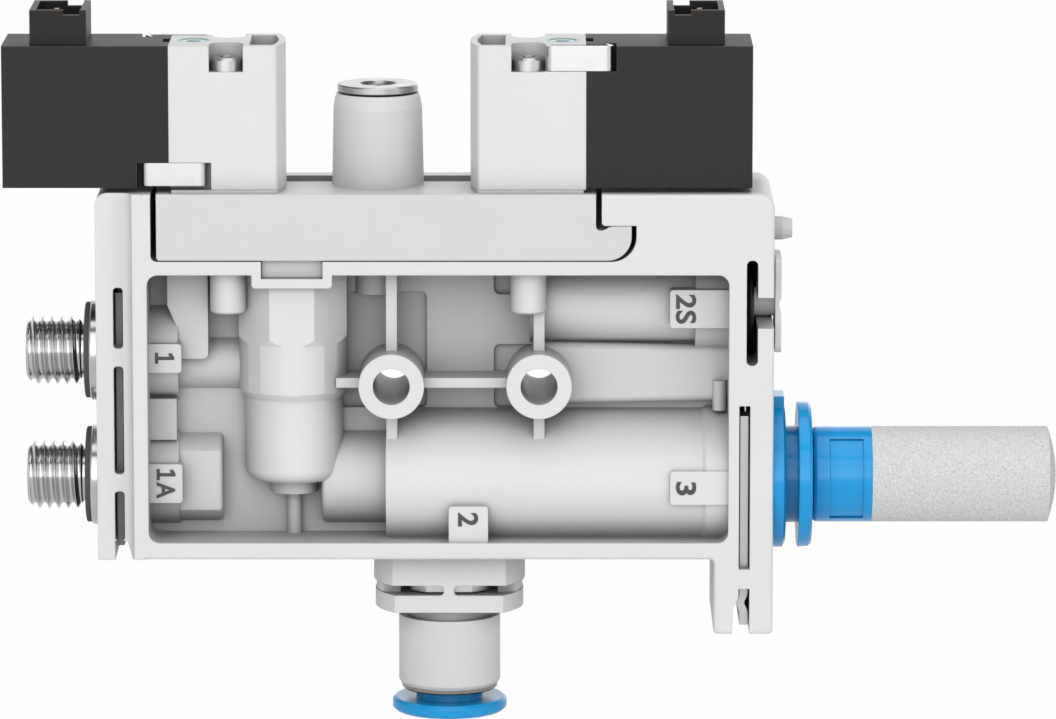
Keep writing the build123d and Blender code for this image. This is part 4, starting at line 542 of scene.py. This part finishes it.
@dataclass(frozen=True)
class TooledMetal:
    """A turned or rolled metal with fine tool lines, a broken sheen, a painted highlight
    on its edges and painted shade in its recesses.
    """

    name: str
    colour: Colour
    roughness: float = 0.25
    sheen_span: float = 0.3
    line_mm: float = 0.05
    line_depth: float = 0.25
    line_height_mm: float = 0.005
    edge_radius_mm: float = 0.06
    # How much paler the painted edge highlight is.
    painted_edge_light: float = 0.3
    mottle: float = 0.14
    # How dark the painted shade in recesses and thread grooves is.
    painted_metal_shade: float = 0.7
    reach_mm: float = 2.0

    def material(self, effects: Effects) -> bpy.types.Material:
        """Make the material.

        Args:
            effects: The shared shader groups.

        Returns:
            The finished material.
        """
        material, graph, shader = blank_material(self.name)
        reach = self.reach_mm * MM
        lines = place_group(graph, effects.turning, Line_Scale=1 / (self.line_mm * MM))
        edges = place_group(graph, effects.edges, Radius=self.edge_radius_mm * MM)
        recess = place_group(graph, effects.recess, Reach=reach, Pocket_Reach=reach)
        sheen = lines.outputs["Sheen"]
        tone = graph.blend(sheen, darker(self.colour, self.mottle), self.colour)
        # Painted highlight along the edges.
        bright = paler(self.colour, self.painted_edge_light)
        with_painted_edge = graph.blend(edges.outputs["Mask"], tone, bright)
        # Painted shade in recesses and grooves, from the ambient-occlusion mask.
        painted_metal_shade_colour = darker(self.colour, self.painted_metal_shade)
        final = graph.blend(recess.outputs["Mask"], with_painted_edge, painted_metal_shade_colour)
        graph.feed(shader, "Base Color", final)
        graph.feed(shader, "Metallic", 1.0)
        rough = graph.spread(
            sheen,
            self.roughness * (1 - self.sheen_span),
            self.roughness * (1 + self.sheen_span),
        )
        graph.feed(shader, "Roughness", rough)
        graph.bump(
            shader,
            height=lines.outputs["Height"],
            strength=self.line_depth,
            depth=self.line_height_mm * MM,
            under=edges.outputs["Normal"],
        )
        return material


@dataclass(frozen=True)
class PorousResin:
    """Sintered beads: a pale speckled surface with pits between the beads, darker there as
    painted shade.
    """

    name: str
    pale: Colour
    shaded: Colour
    bead_mm: float = 0.2
    depth_mm: float = 0.1
    clump_scale: float = 4500.0
    clump_span: tuple[float, float] = (-0.1, 0.9)
    bead_share: float = 0.6
    rough_span: tuple[float, float] = (0.95, 0.75)
    specular: float = 0.25

    def material(self, effects: Effects) -> bpy.types.Material:
        """Make the material.

        Args:
            effects: The shared shader groups.

        Returns:
            The finished material.
        """
        material, graph, shader = blank_material(self.name)
        bead_scale = 1 / (self.bead_mm * MM)
        cells = graph.add("ShaderNodeTexVoronoi", feature="F1")
        graph.feed(cells, "Vector", graph.place())
        graph.feed(cells, "Scale", bead_scale)
        grain = place_group(
            graph, effects.grain, Grain_Scale=bead_scale, Tone_Scale=self.clump_scale
        )
        beads = graph.spread(cells.outputs["Distance"], 1.0, 0.0)
        height = graph.maths("ADD", beads, grain.outputs["Height"])
        clump = graph.spread(grain.outputs["Tone"], *self.clump_span)
        # Paler on the beads and darker between them: painted shade in the pits, over
        # random clumps of tone.
        mix = graph.maths("ADD", clump, graph.maths("MULTIPLY", beads, self.bead_share))
        graph.feed(shader, "Base Color", graph.blend(mix, self.shaded, self.pale))
        graph.feed(shader, "Roughness", graph.spread(beads, *self.rough_span))
        graph.feed(shader, "Specular IOR Level", self.specular)
        graph.bump(shader, height=height, strength=1.0, depth=self.depth_mm * MM)
        return material


FINISHES: dict[str, Finish] = {
    "white_resin": MouldedResin("white_resin_satin", srgb(238, 238, 238)),
    "grey_resin": MouldedResin("grey_resin_satin", srgb(227, 227, 227)),
    "blue_resin": MouldedResin(
        "blue_resin_gloss", srgb(16, 164, 234), roughness=0.2, mottle=0.02, painted_recess_shade=0.45
    ),
    "black_resin": MouldedResin(
        "black_resin_grained",
        srgb(45, 42, 40),
        roughness=0.48,
        grain_mm=0.1,
        painted_edge_light=0.1,
        specular=0.25,
    ),
    # Its edges are painted dark: painted shade along the edges.
    "cyan_resin": MouldedResin(
        "cyan_resin_satin",
        srgb(225, 255, 255),
        roughness=0.3,
        painted_recess_shade=0.05,
        painted_edge_light=-0.85,
        edge_gain=120.0,
        edge_radius_mm=0.2,
    ),
    # Its edges are painted dark: painted shade along the edges.
    "teal_resin": MouldedResin(
        "teal_resin_satin",
        srgb(84, 150, 182),
        roughness=0.3,
        painted_recess_shade=0.2,
        painted_edge_light=-0.6,
        edge_gain=60.0,
    ),
    "black_nylon": MouldedResin(
        "black_nylon_satin", srgb(36, 34, 32), painted_edge_light=0.08, specular=0.25
    ),
    "porous_resin": PorousResin(
        "porous_resin_beads", pale=srgb(246, 246, 246), shaded=srgb(196, 196, 196)
    ),
    "plated_metal": TooledMetal(
        "plated_metal_turned",
        srgb(208, 208, 209),
        roughness=0.19,
        line_depth=0.05,
        painted_metal_shade=0.2,
    ),
    "spring_steel": TooledMetal(
        "spring_steel_rolled",
        srgb(214, 214, 214),
        roughness=0.3,
        painted_metal_shade=0.3,
        mottle=0.04,
    ),
    # A darker copy of spring_steel: painted shade on the clip deep in its slot.
    "spring_steel_shaded_copy": TooledMetal(
        "spring_steel_painted_slot_shade", srgb(150, 150, 150), roughness=0.4, mottle=0.08
    ),
    # A paler copy of grey_resin with little painted recess shade: painted light on the 2S
    # plug.
    "grey_resin_lighter_copy": MouldedResin("grey_resin_painted_lighter_satin", srgb(236, 236, 236), painted_recess_shade=0.15),
    "control_metal": TooledMetal(
        "control_screw_satin",
        srgb(190, 190, 189),
        roughness=0.32,
        painted_metal_shade=0.5,
        mottle=0.04,
    ),
    "screw_steel": TooledMetal(
        "screw_steel_turned",
        srgb(206, 206, 206),
        roughness=0.36,
        painted_metal_shade=0.1,
        mottle=0.05,
    ),
    "rolled_cap": TooledMetal(
        "rolled_cap_steel", srgb(158, 152, 144), roughness=0.2, painted_metal_shade=0.6
    ),
    "brass": TooledMetal("brass_turned", srgb(205, 170, 95)),
    "gold_plate": TooledMetal("gold_plate_bright", srgb(206, 178, 118)),
    "dark_rubber": MouldedResin("dark_rubber_matt", srgb(92, 92, 92), roughness=0.8),
    "black_rubber": MouldedResin(
        "black_rubber_smooth", srgb(28, 28, 28), roughness=0.4
    ),
    "light_rubber": MouldedResin(
        "light_rubber_matt", srgb(228, 228, 228), roughness=0.75
    ),
}

# Dark grey that stands in for the shade in the engraved port numbers: painted shade.
NUMBER_SHADE_GREY = MouldedResin(
    "number_painted_shade_grey", srgb(84, 84, 85), roughness=0.6, painted_recess_shade=0.2
)


class Dresser:
    """Gives each CAD node the finish of its material slot, or one of its own."""

    OWN: ClassVar[dict[str, str]] = {
        "nipple_clip": "spring_steel_shaded_copy",
        "push_in_cap_ring": "rolled_cap",
        "port_2s_plug": "grey_resin_lighter_copy",
        "flow_control_screw": "control_metal",
        "valve_screws_left": "screw_steel",
        "valve_screws_right": "screw_steel",
    }

    def __init__(self, effects: Effects) -> None:
        """Make one material for each slot.

        Args:
            effects: The shared shader groups.
        """
        self.materials = {
            slot: finish.material(effects) for slot, finish in FINISHES.items()
        }

    def dress_nodes(self) -> None:
        """Put the finish of its slot on every CAD node."""
        for entry in frame["record"]["subparts"]:
            node = frame["nodes"][entry["node"]]
            slot = entry["material_slot"]
            finish = self.OWN.get(entry["node"], slot)
            for place in node.material_slots:
                place.material = self.materials[finish]
            log.info("%s: %s", entry["node"], finish)


def pick(*pieces: bpy.types.Object) -> None:
    """Select these pieces alone, the last one active.

    Args:
        *pieces: The pieces.
    """
    bpy.ops.object.select_all(action="DESELECT")
    for piece in pieces:
        piece.select_set(True)
    bpy.context.view_layer.objects.active = pieces[-1]


def bisect(place: float, way: float) -> None:
    """Cut the piece in edit mode square to its axis, and close the cut.

    Args:
        place: Where the cut is along X.
        way: 1 to keep what is beyond the cut, or -1 to keep what is before it.
    """
    bpy.ops.mesh.select_all(action="SELECT")
    bpy.ops.mesh.bisect(
        plane_co=(place, 0.0, 0.0),
        plane_no=(way, 0.0, 0.0),
        use_fill=True,
        clear_inner=True,
        threshold=CUT_NEAR,
    )


def select_faces(
    piece: bpy.types.Object, wanted: Callable[[bpy.types.MeshPolygon], bool]
) -> None:
    """Select some faces of a piece and stay in edit mode.

    Args:
        piece: The piece.
        wanted: Says of a face whether it is selected.
    """
    pick(piece)
    bpy.ops.object.mode_set(mode="EDIT")
    bpy.ops.mesh.select_mode(type="FACE")
    bpy.ops.mesh.select_all(action="DESELECT")
    bpy.ops.object.mode_set(mode="OBJECT")
    for face in piece.data.polygons:
        face.select = wanted(face)
    bpy.ops.object.mode_set(mode="EDIT")


def close_shell(piece: bpy.types.Object) -> None:
    """Merge a piece's doubles and turn its faces outwards.

    Args:
        piece: The piece.
    """
    pick(piece)
    bpy.ops.object.mode_set(mode="EDIT")
    bpy.ops.mesh.select_mode(type="VERT")
    bpy.ops.mesh.select_all(action="SELECT")
    bpy.ops.mesh.remove_doubles(threshold=CLOSE_NEAR)
    bpy.ops.mesh.normals_make_consistent(inside=False)
    bpy.ops.object.mode_set(mode="OBJECT")


def take_over(
    piece: bpy.types.Object, name: str, slot: str, body: str = "housing_group"
) -> None:
    """Name a new piece, log its slot and let it ride on its body.

    Args:
        piece: The finished piece.
        name: The piece's name.
        slot: The record's material slot.
        body: The CAD body that the piece moves with.
    """
    piece.name = name
    piece.data.name = name
    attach(piece, body)
    log.info("%s: %s on %s", name, slot, body)


class Glyph(Enum):
    """A glyph of the port numbers: set as text, or drawn by its corners."""

    ONE = (
        (0.0, 0.0),
        (1.0, 0.0),
        (1.0, 0.17),
        (0.66, 0.17),
        (0.66, 1.0),
        (0.38, 1.0),
        (0.02, 0.86),
        (0.09, 0.68),
        (0.36, 0.76),
        (0.36, 0.17),
        (0.0, 0.17),
    )
    TWO = "2"
    THREE = "3"
    TWO_S = "2S"
    A = "A"


@dataclass(frozen=True)
class PortNumber:
    """One port number: where its glyphs begin and end on its tag, in mm."""

    name: str
    glyph: Glyph
    foot_x: float
    head_x: float
    start_z: float
    end_z: float
    front_y: float


@dataclass
class PortNumbers:
    """The port numbers on the raised tags, sunk a little, in a dark grey that is painted
    shade of engraved numerals.
    """

    shade_grey: bpy.types.Material
    thick: float = 0.05 * MM
    sunk: float = 0.02 * MM
    stroke: float = 0.024
    spacing: float = 1.05
    curve_steps: int = 5
    numbers: tuple[PortNumber, ...] = (
        PortNumber("port_number_1", Glyph.ONE, -31.13, -29.21, 3.07, 1.97, 2.3),
        PortNumber("port_number_1a", Glyph.ONE, -31.07, -29.18, -8.79, -9.93, 2.3),
        PortNumber("port_letter_1a", Glyph.A, -31.09, -29.2, -10.11, -11.81, 2.3),
        PortNumber("port_number_2", Glyph.TWO, -0.74, 1.28, -12.89, -14.3, 0.4),
        PortNumber("port_number_2s", Glyph.TWO_S, 21.1, 23.15, 9.0, 6.0, 2.4),
        PortNumber("port_number_3", Glyph.THREE, 21.13, 23.17, -9.75, -11.13, 0.45),
    )

    def _typeset(self, words: str) -> bpy.types.Object:
        """Set glyphs as thick text.

        Args:
            words: The glyphs.

        Returns:
            The text as a mesh.
        """
        bpy.ops.object.text_add()
        text = bpy.context.object
        text.data.body = words
        text.data.extrude = self.thick / 2
        text.data.offset = self.stroke
        text.data.space_character = self.spacing
        text.data.resolution_u = self.curve_steps
        bpy.ops.object.convert(target="MESH")
        return bpy.context.object

    def _drawn(self, corners: tuple[tuple[float, float], ...]) -> bpy.types.Object:
        """Draw a glyph by its corners, and give it its thickness.

        Args:
            corners: The corners in a unit square, in order.

        Returns:
            The glyph as a mesh.
        """
        outline = bpy.data.curves.new("glyph", "CURVE")
        outline.dimensions = "2D"
        outline.fill_mode = "BOTH"
        outline.extrude = self.thick / 2
        run = outline.splines.new("POLY")
        run.points.add(len(corners) - 1)
        for point, (across, up) in zip(run.points, corners, strict=True):
            point.co = (across, up, 0.0, 1.0)
        run.use_cyclic_u = True
        glyph = bpy.data.objects.new("glyph", outline)
        bpy.context.scene.collection.objects.link(glyph)
        pick(glyph)
        bpy.ops.object.convert(target="MESH")
        return bpy.context.object

    def _place(self, piece: bpy.types.Object, number: PortNumber) -> None:
        """Fit a glyph to its size and lay it on its tag, read downwards.

        Args:
            piece: The glyph as a mesh.
            number: The port number.
        """
        spots = [vertex.co for vertex in piece.data.vertices]
        low = Vector(min(spot[axis] for spot in spots) for axis in range(3))
        high = Vector(max(spot[axis] for spot in spots) for axis in range(3))
        wide = (number.start_z - number.end_z) * MM / (high.x - low.x)
        tall = (number.head_x - number.foot_x) * MM / (high.y - low.y)
        turn = Matrix(((0.0, 1.0, 0.0), (0.0, 0.0, -1.0), (-1.0, 0.0, 0.0)))
        centre = Vector(
            (
                (number.foot_x + number.head_x) / 2 * MM,
                number.front_y * MM + self.sunk - self.thick / 2,
                (number.start_z + number.end_z) / 2 * MM,
            )
        )
        piece.data.transform(Matrix.Translation(-(low + high) / 2))
        piece.data.transform(Matrix.Diagonal((wide, tall, 1.0, 1.0)))
        piece.data.transform(Matrix.Translation(centre) @ turn.to_4x4())
        close_shell(piece)

    def build(self) -> None:
        """Build every port number and give it the dark grey of painted shade."""
        for number in self.numbers:
            bpy.ops.object.select_all(action="DESELECT")
            shape = number.glyph.value
            words = isinstance(shape, str)
            piece = self._typeset(shape) if words else self._drawn(shape)
            self._place(piece, number)
            piece.data.materials.clear()
            piece.data.materials.append(self.shade_grey)
            take_over(piece, number.name, "dark_rubber")


@dataclass
class ThreadedNipples:
    """The plated supply nipples, each with a rolled right-handed thread."""

    metal: bpy.types.Material
    pitch: float = 0.9625 * MM
    crest_r: float = 3.45 * MM
    root_r: float = 2.92 * MM
    neck_r: float = 2.75 * MM
    bore_r: float = 2.0 * MM
    first_crest_x: float = -43.62 * MM
    thread_length: float = 5.9 * MM
    tip_chamfer: float = 0.6 * MM
    run_out: float = 0.86 * MM
    neck: float = 0.33 * MM
    steps: int = 72
    spare_turns: int = 3
    lead_pitches: float = 2.5
    overrun: float = 0.2 * MM
    overlap: float = 0.05 * MM
    bore_past: float = 1 * MM
    smooth_deg: float = 28.0
    # Share of the pitch, and share of the depth, along one turn's section.
    profile: tuple[tuple[float, float], ...] = (
        (0.0, 0.0),
        (0.1, 0.02),
        (0.18, 0.09),
        (0.25, 0.24),
        (0.42, 0.84),
        (0.47, 0.98),
        (0.53, 0.98),
        (0.58, 0.84),
        (0.75, 0.24),
        (0.82, 0.09),
        (0.9, 0.02),
        (1.0, 0.0),
    )

    def _helix(self, tip: Vector) -> bpy.types.Object:
        """Wind the profile of one pitch into a rod that is longer than the thread.

        Args:
            tip: The place where the axis leaves the nipple's tip.

        Returns:
            The closed rod.
        """
        deep = self.crest_r - self.root_r
        turns = math.ceil(self.thread_length / self.pitch) + self.spare_turns
        start_x = self.first_crest_x - self.lead_pitches * self.pitch
        bpy.ops.mesh.primitive_plane_add(
            size=self.pitch, location=(start_x, tip.y, tip.z)
        )
        rod = bpy.context.object
        bpy.ops.object.mode_set(mode="EDIT")
        bpy.ops.mesh.select_all(action="SELECT")
        bpy.ops.mesh.merge(type="CENTER")
        bpy.ops.transform.translate(value=(0.0, 0.0, self.root_r))
        last = self.profile[0]
        for share, height in self.profile[1:]:
            move = ((share - last[0]) * self.pitch, 0.0, (height - last[1]) * deep)
            bpy.ops.mesh.extrude_vertices_move(TRANSFORM_OT_translate={"value": move})
            last = (share, height)
        bpy.ops.object.mode_set(mode="OBJECT")
        wind = rod.modifiers.new("wind", "SCREW")
        wind.axis = "X"
        wind.steps = self.steps
        wind.render_steps = self.steps
        wind.screw_offset = self.pitch
        wind.iterations = turns
        wind.use_merge_vertices = True
        wind.merge_threshold = MERGE_NEAR
        wind.use_smooth_shade = False
        bpy.ops.object.modifier_apply(modifier=wind.name)
        bpy.ops.object.transform_apply(location=True, rotation=True, scale=True)
        bpy.ops.object.mode_set(mode="EDIT")
        bisect(tip.x - self.overrun, 1.0)
        bisect(tip.x + self.thread_length + self.overrun, -1.0)
        bpy.ops.object.mode_set(mode="OBJECT")
        close_shell(rod)
        return rod

    def _cylinder(
        self, low_x: float, high_x: float, radius: float, tip: Vector
    ) -> bpy.types.Object:
        """Add a cylinder along the nipple's axis.

        Args:
            low_x: Where it starts.
            high_x: Where it ends.
            radius: Its radius.
            tip: The place where the axis leaves the nipple's tip.

        Returns:
            The cylinder, with its place in its mesh.
        """
        bpy.ops.mesh.primitive_cylinder_add(
            vertices=self.steps,
            radius=radius,
            depth=high_x - low_x,
            location=((low_x + high_x) / 2, tip.y, tip.z),
            rotation=(0.0, math.pi / 2, 0.0),
        )
        bpy.ops.object.transform_apply(location=True, rotation=True, scale=True)
        return bpy.context.object

    def _blank(self, tip: Vector) -> bpy.types.Object:
        """Turn the blank of the thread: tip chamfer, full width, run-out and neck.

        Args:
            tip: The place where the axis leaves the nipple's tip.

        Returns:
            The closed blank.
        """
        end = tip.x + self.thread_length
        full_start = tip.x + self.tip_chamfer
        full_end = end - self.run_out
        blank = self._cylinder(full_start, full_end, self.crest_r, tip)
        narrow = self.neck_r / self.crest_r
        turning = (
            (full_start, tip.x, narrow),
            (full_end, end - self.neck, narrow),
            (end - self.neck, end + self.overlap, 1.0),
        )
        for here, there, scale in turning:
            select_faces(
                blank, lambda face, x=here: abs(face.center.x - x) < CLOSE_NEAR
            )
            bpy.ops.mesh.extrude_region_move(
                TRANSFORM_OT_translate={"value": (there - here, 0.0, 0.0)}
            )
            bpy.ops.transform.resize(
                value=(1.0, scale, scale), center_override=(there, tip.y, tip.z)
            )
            bpy.ops.object.mode_set(mode="OBJECT")
        close_shell(blank)
        return blank

    def _rear(self, node: str, cut_x: float) -> bpy.types.Object:
        """Copy the nipple's flange and shank from its CAD node.

        Args:
            node: The CAD node.
            cut_x: Where the thread ends.

        Returns:
            The closed rear of the nipple.
        """
        rear = bpy.data.objects.new(node, frame["nodes"][node].data.copy())
        bpy.context.scene.collection.objects.link(rear)
        pick(rear)
        bpy.ops.object.mode_set(mode="EDIT")
        bpy.ops.mesh.select_all(action="SELECT")
        bpy.ops.mesh.remove_doubles(threshold=MERGE_NEAR)
        bpy.ops.mesh.customdata_custom_splitnormals_clear()
        bisect(cut_x, 1.0)
        bpy.ops.object.mode_set(mode="OBJECT")
        return rear

    def _front(self, tip: Vector) -> bpy.types.Object:
        """Cut the wound rod to the blank and bore it.

        Args:
            tip: The place where the axis leaves the nipple's tip.

        Returns:
            The threaded front of the nipple.
        """
        rod = self._helix(tip)
        blank = self._blank(tip)
        end = tip.x + self.thread_length
        bore = self._cylinder(
            tip.x - self.bore_past, end + self.bore_past, self.bore_r, tip
        )
        for tool, operation in ((blank, "INTERSECT"), (bore, "DIFFERENCE")):
            pick(rod)
            cut = rod.modifiers.new("cut", "BOOLEAN")
            cut.operation = operation
            cut.object = tool
            cut.solver = "EXACT"
            bpy.ops.object.modifier_apply(modifier=cut.name)
            bpy.data.objects.remove(tool)
        return rod

    def build(self) -> None:
        """Build the first nipple, and copy its thread to the second."""
        low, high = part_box("nipple_1")
        tip = Vector((low[0], (low[1] + high[1]) / 2, (low[2] + high[2]) / 2))
        bpy.ops.object.select_all(action="DESELECT")
        front = self._front(tip)
        for node in ("nipple_1", "nipple_1a"):
            low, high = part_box(node)
            drop = (low[2] + high[2]) / 2 - tip.z
            rear = self._rear(node, low[0] + self.thread_length)
            piece = front.copy()
            piece.data = front.data.copy()
            piece.data.transform(Matrix.Translation((0.0, 0.0, drop)))
            bpy.context.scene.collection.objects.link(piece)
            pick(rear, piece)
            bpy.ops.object.join()
            bpy.ops.object.shade_smooth_by_angle(angle=math.radians(self.smooth_deg))
            piece.data.materials.clear()
            piece.data.materials.append(self.metal)
            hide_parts(node)
            take_over(piece, f"threaded_{node}", "plated_metal")
        bpy.data.objects.remove(front)


@dataclass(frozen=True)
class Lamp:
    """A square soft lamp that points at the object: place, side and power."""

    name: str
    spot: tuple[float, float, float]
    side: float
    power: float


@dataclass
class Studio:
    """The pale floor, the even sky, the soft lamps and the camera."""

    photo_width: int = 1056
    focal_px: float = 7150.0
    axis_px: tuple[float, float] = (525.0, 360.0)
    photo_centre: tuple[float, float] = (528.0, 359.5)
    pitch_deg: float = 9.8
    distance: float = 715 * MM
    aim: tuple[float, float, float] = (5.99 * MM, 0.0, 2.74 * MM)
    sensor_mm: float = 36.0
    clip: tuple[float, float] = (10 * MM, 20000 * MM)
    floor_drop: float = 4 * MM
    floor_half: float = 1500 * MM
    floor_tones: tuple[float, float] = (0.84, 0.86)
    floor_tone_scale: float = 3.0
    floor_roughness: float = 0.9
    floor_specular: float = 0.1
    # How white the floor is where the camera looks, and how much of that a gloss sees.
    floor_white: float = 0.97
    floor_gloss: float = 0.5
    sky_strength: float = 0.2
    # A gloss sees the sky bright up to the first height and dim above the second.
    sky_heights: tuple[float, float] = (0.1, 0.45)
    sky_gloss: tuple[float, float] = (1.0, 0.12)
    lamps: tuple[Lamp, ...] = (
        Lamp("lamp_front", (-0.12, -0.9, 0.3), 1.15, 7.1),
        Lamp("lamp_top", (0.1, -0.1, 0.9), 0.8, 2.9),
        Lamp("lamp_side", (0.9, -0.5, 0.2), 0.6, 1.1),
        Lamp("lamp_rear", (0.25, 0.9, 0.3), 0.9, 1.9),
    )

    def camera(self) -> None:
        """Set up the camera at the photo's angle, distance and framing."""
        pitch = math.radians(self.pitch_deg)
        data = bpy.data.cameras.new("camera")
        data.sensor_width = self.sensor_mm
        data.lens = self.focal_px / self.photo_width * self.sensor_mm
        data.shift_x = (self.photo_centre[0] - self.axis_px[0]) / self.photo_width
        data.shift_y = (self.axis_px[1] - self.photo_centre[1]) / self.photo_width
        data.clip_start, data.clip_end = self.clip
        camera = bpy.data.objects.new("camera", data)
        back = Vector((0.0, -math.cos(pitch), math.sin(pitch)))
        camera.location = Vector(self.aim) + back * self.distance
        camera.rotation_euler = (math.pi / 2 - pitch, 0.0, 0.0)
        bpy.context.scene.collection.objects.link(camera)
        bpy.context.scene.camera = camera

    @staticmethod
    def _seen(graph: Graph, share: float = 1.0) -> bpy.types.NodeSocket:
        """Return a socket that is 1 where the camera looks, straight or through glass.

        Args:
            graph: The graph of the floor or of the sky.
            share: How much of it a gloss sees.

        Returns:
            The socket.
        """
        path = graph.add("ShaderNodeLightPath")
        straight = graph.maths(
            "MAXIMUM",
            path.outputs["Is Camera Ray"],
            path.outputs["Is Transmission Ray"],
        )
        gloss = graph.maths("MULTIPLY", path.outputs["Is Glossy Ray"], share)
        return graph.maths("MAXIMUM", straight, gloss)

    def _floor_material(self) -> bpy.types.Material:
        """Make the pale finish of the floor, white where the camera looks.

        Returns:
            The material.
        """
        material, graph, shader = blank_material("stage_pale")
        noise = graph.noise(graph.place(), self.floor_tone_scale)
        low, high = ((tone, tone, tone) for tone in self.floor_tones)
        graph.feed(shader, "Base Color", graph.blend(noise, low, high))
        graph.feed(shader, "Roughness", self.floor_roughness)
        graph.feed(shader, "Specular IOR Level", self.floor_specular)
        glow = graph.add("ShaderNodeEmission")
        graph.feed(glow, "Color", WHITE)
        seen = self._seen(graph, self.floor_gloss)
        mix = graph.add("ShaderNodeMixShader")
        graph.feed(mix, 0, graph.maths("MULTIPLY", seen, self.floor_white))
        graph.feed(mix, 1, shader.outputs[0])
        graph.feed(mix, 2, glow.outputs[0])
        output = material.node_tree.nodes["Material Output"]
        graph.feed(output, "Surface", mix.outputs[0])
        return material

    def floor(self) -> None:
        """Lay the floor a little below the object."""
        lowest = cad_box[0][2]
        bpy.ops.object.select_all(action="DESELECT")
        bpy.ops.mesh.primitive_plane_add(size=2 * self.floor_half)
        floor = bpy.context.object
        floor.name = "stage_floor"
        floor.location = (0.0, 0.0, lowest - self.floor_drop)
        floor.data.materials.append(self._floor_material())

    def sky(self) -> None:
        """Light evenly from all round, white for the camera, graded for a gloss."""
        world = bpy.data.worlds.new("studio_sky")
        bpy.context.scene.world = world
        world.use_nodes = True
        graph = Graph(world.node_tree)
        even = world.node_tree.nodes["Background"]
        graph.feed(even, "Color", WHITE)
        graph.feed(even, "Strength", self.sky_strength)
        way = graph.add("ShaderNodeSeparateXYZ")
        graph.feed(way, 0, graph.add("ShaderNodeTexCoord").outputs["Generated"])
        fall = graph.add("ShaderNodeMapRange")
        graph.feed(fall, "From Min", self.sky_heights[0])
        graph.feed(fall, "From Max", self.sky_heights[1])
        graph.feed(fall, "To Min", self.sky_gloss[0])
        graph.feed(fall, "To Max", self.sky_gloss[1])
        graph.feed(fall, "Value", way.outputs["Z"])
        camera_ray = graph.add("ShaderNodeLightPath").outputs["Is Camera Ray"]
        seen = graph.add("ShaderNodeBackground")
        graph.feed(seen, "Color", WHITE)
        strength = graph.maths("MAXIMUM", camera_ray, fall.outputs[0])
        graph.feed(seen, "Strength", strength)
        mix = graph.add("ShaderNodeMixShader")
        graph.feed(mix, 0, self._seen(graph))
        graph.feed(mix, 1, even.outputs[0])
        graph.feed(mix, 2, seen.outputs[0])
        output = world.node_tree.nodes["World Output"]
        graph.feed(output, "Surface", mix.outputs[0])

    def hang_lamps(self) -> None:
        """Hang the soft lamps, each turned to the object."""
        for lamp in self.lamps:
            data = bpy.data.lights.new(lamp.name, "AREA")
            data.shape = "SQUARE"
            data.size = lamp.side
            data.energy = lamp.power
            hung = bpy.data.objects.new(lamp.name, data)
            hung.location = lamp.spot
            turn = (-Vector(lamp.spot)).to_track_quat("-Z", "Y")
            hung.rotation_euler = turn.to_euler()
            bpy.context.scene.collection.objects.link(hung)

    def build(self) -> None:
        """Build the whole studio."""
        bpy.context.scene.view_settings.view_transform = "Standard"
        self.floor()
        self.sky()
        self.hang_lamps()
        self.camera()


def main() -> None:
    """Dress the CAD nodes, build the fine pieces and set up the studio."""
    logging.basicConfig(level=logging.INFO, format="%(message)s")
    effects = Effects()
    dresser = Dresser(effects)
    dresser.dress_nodes()
    PortNumbers(NUMBER_SHADE_GREY.material(effects)).build()
    ThreadedNipples(dresser.materials["plated_metal"]).build()
    Studio().build()


if __name__ == "__main__":
    main()
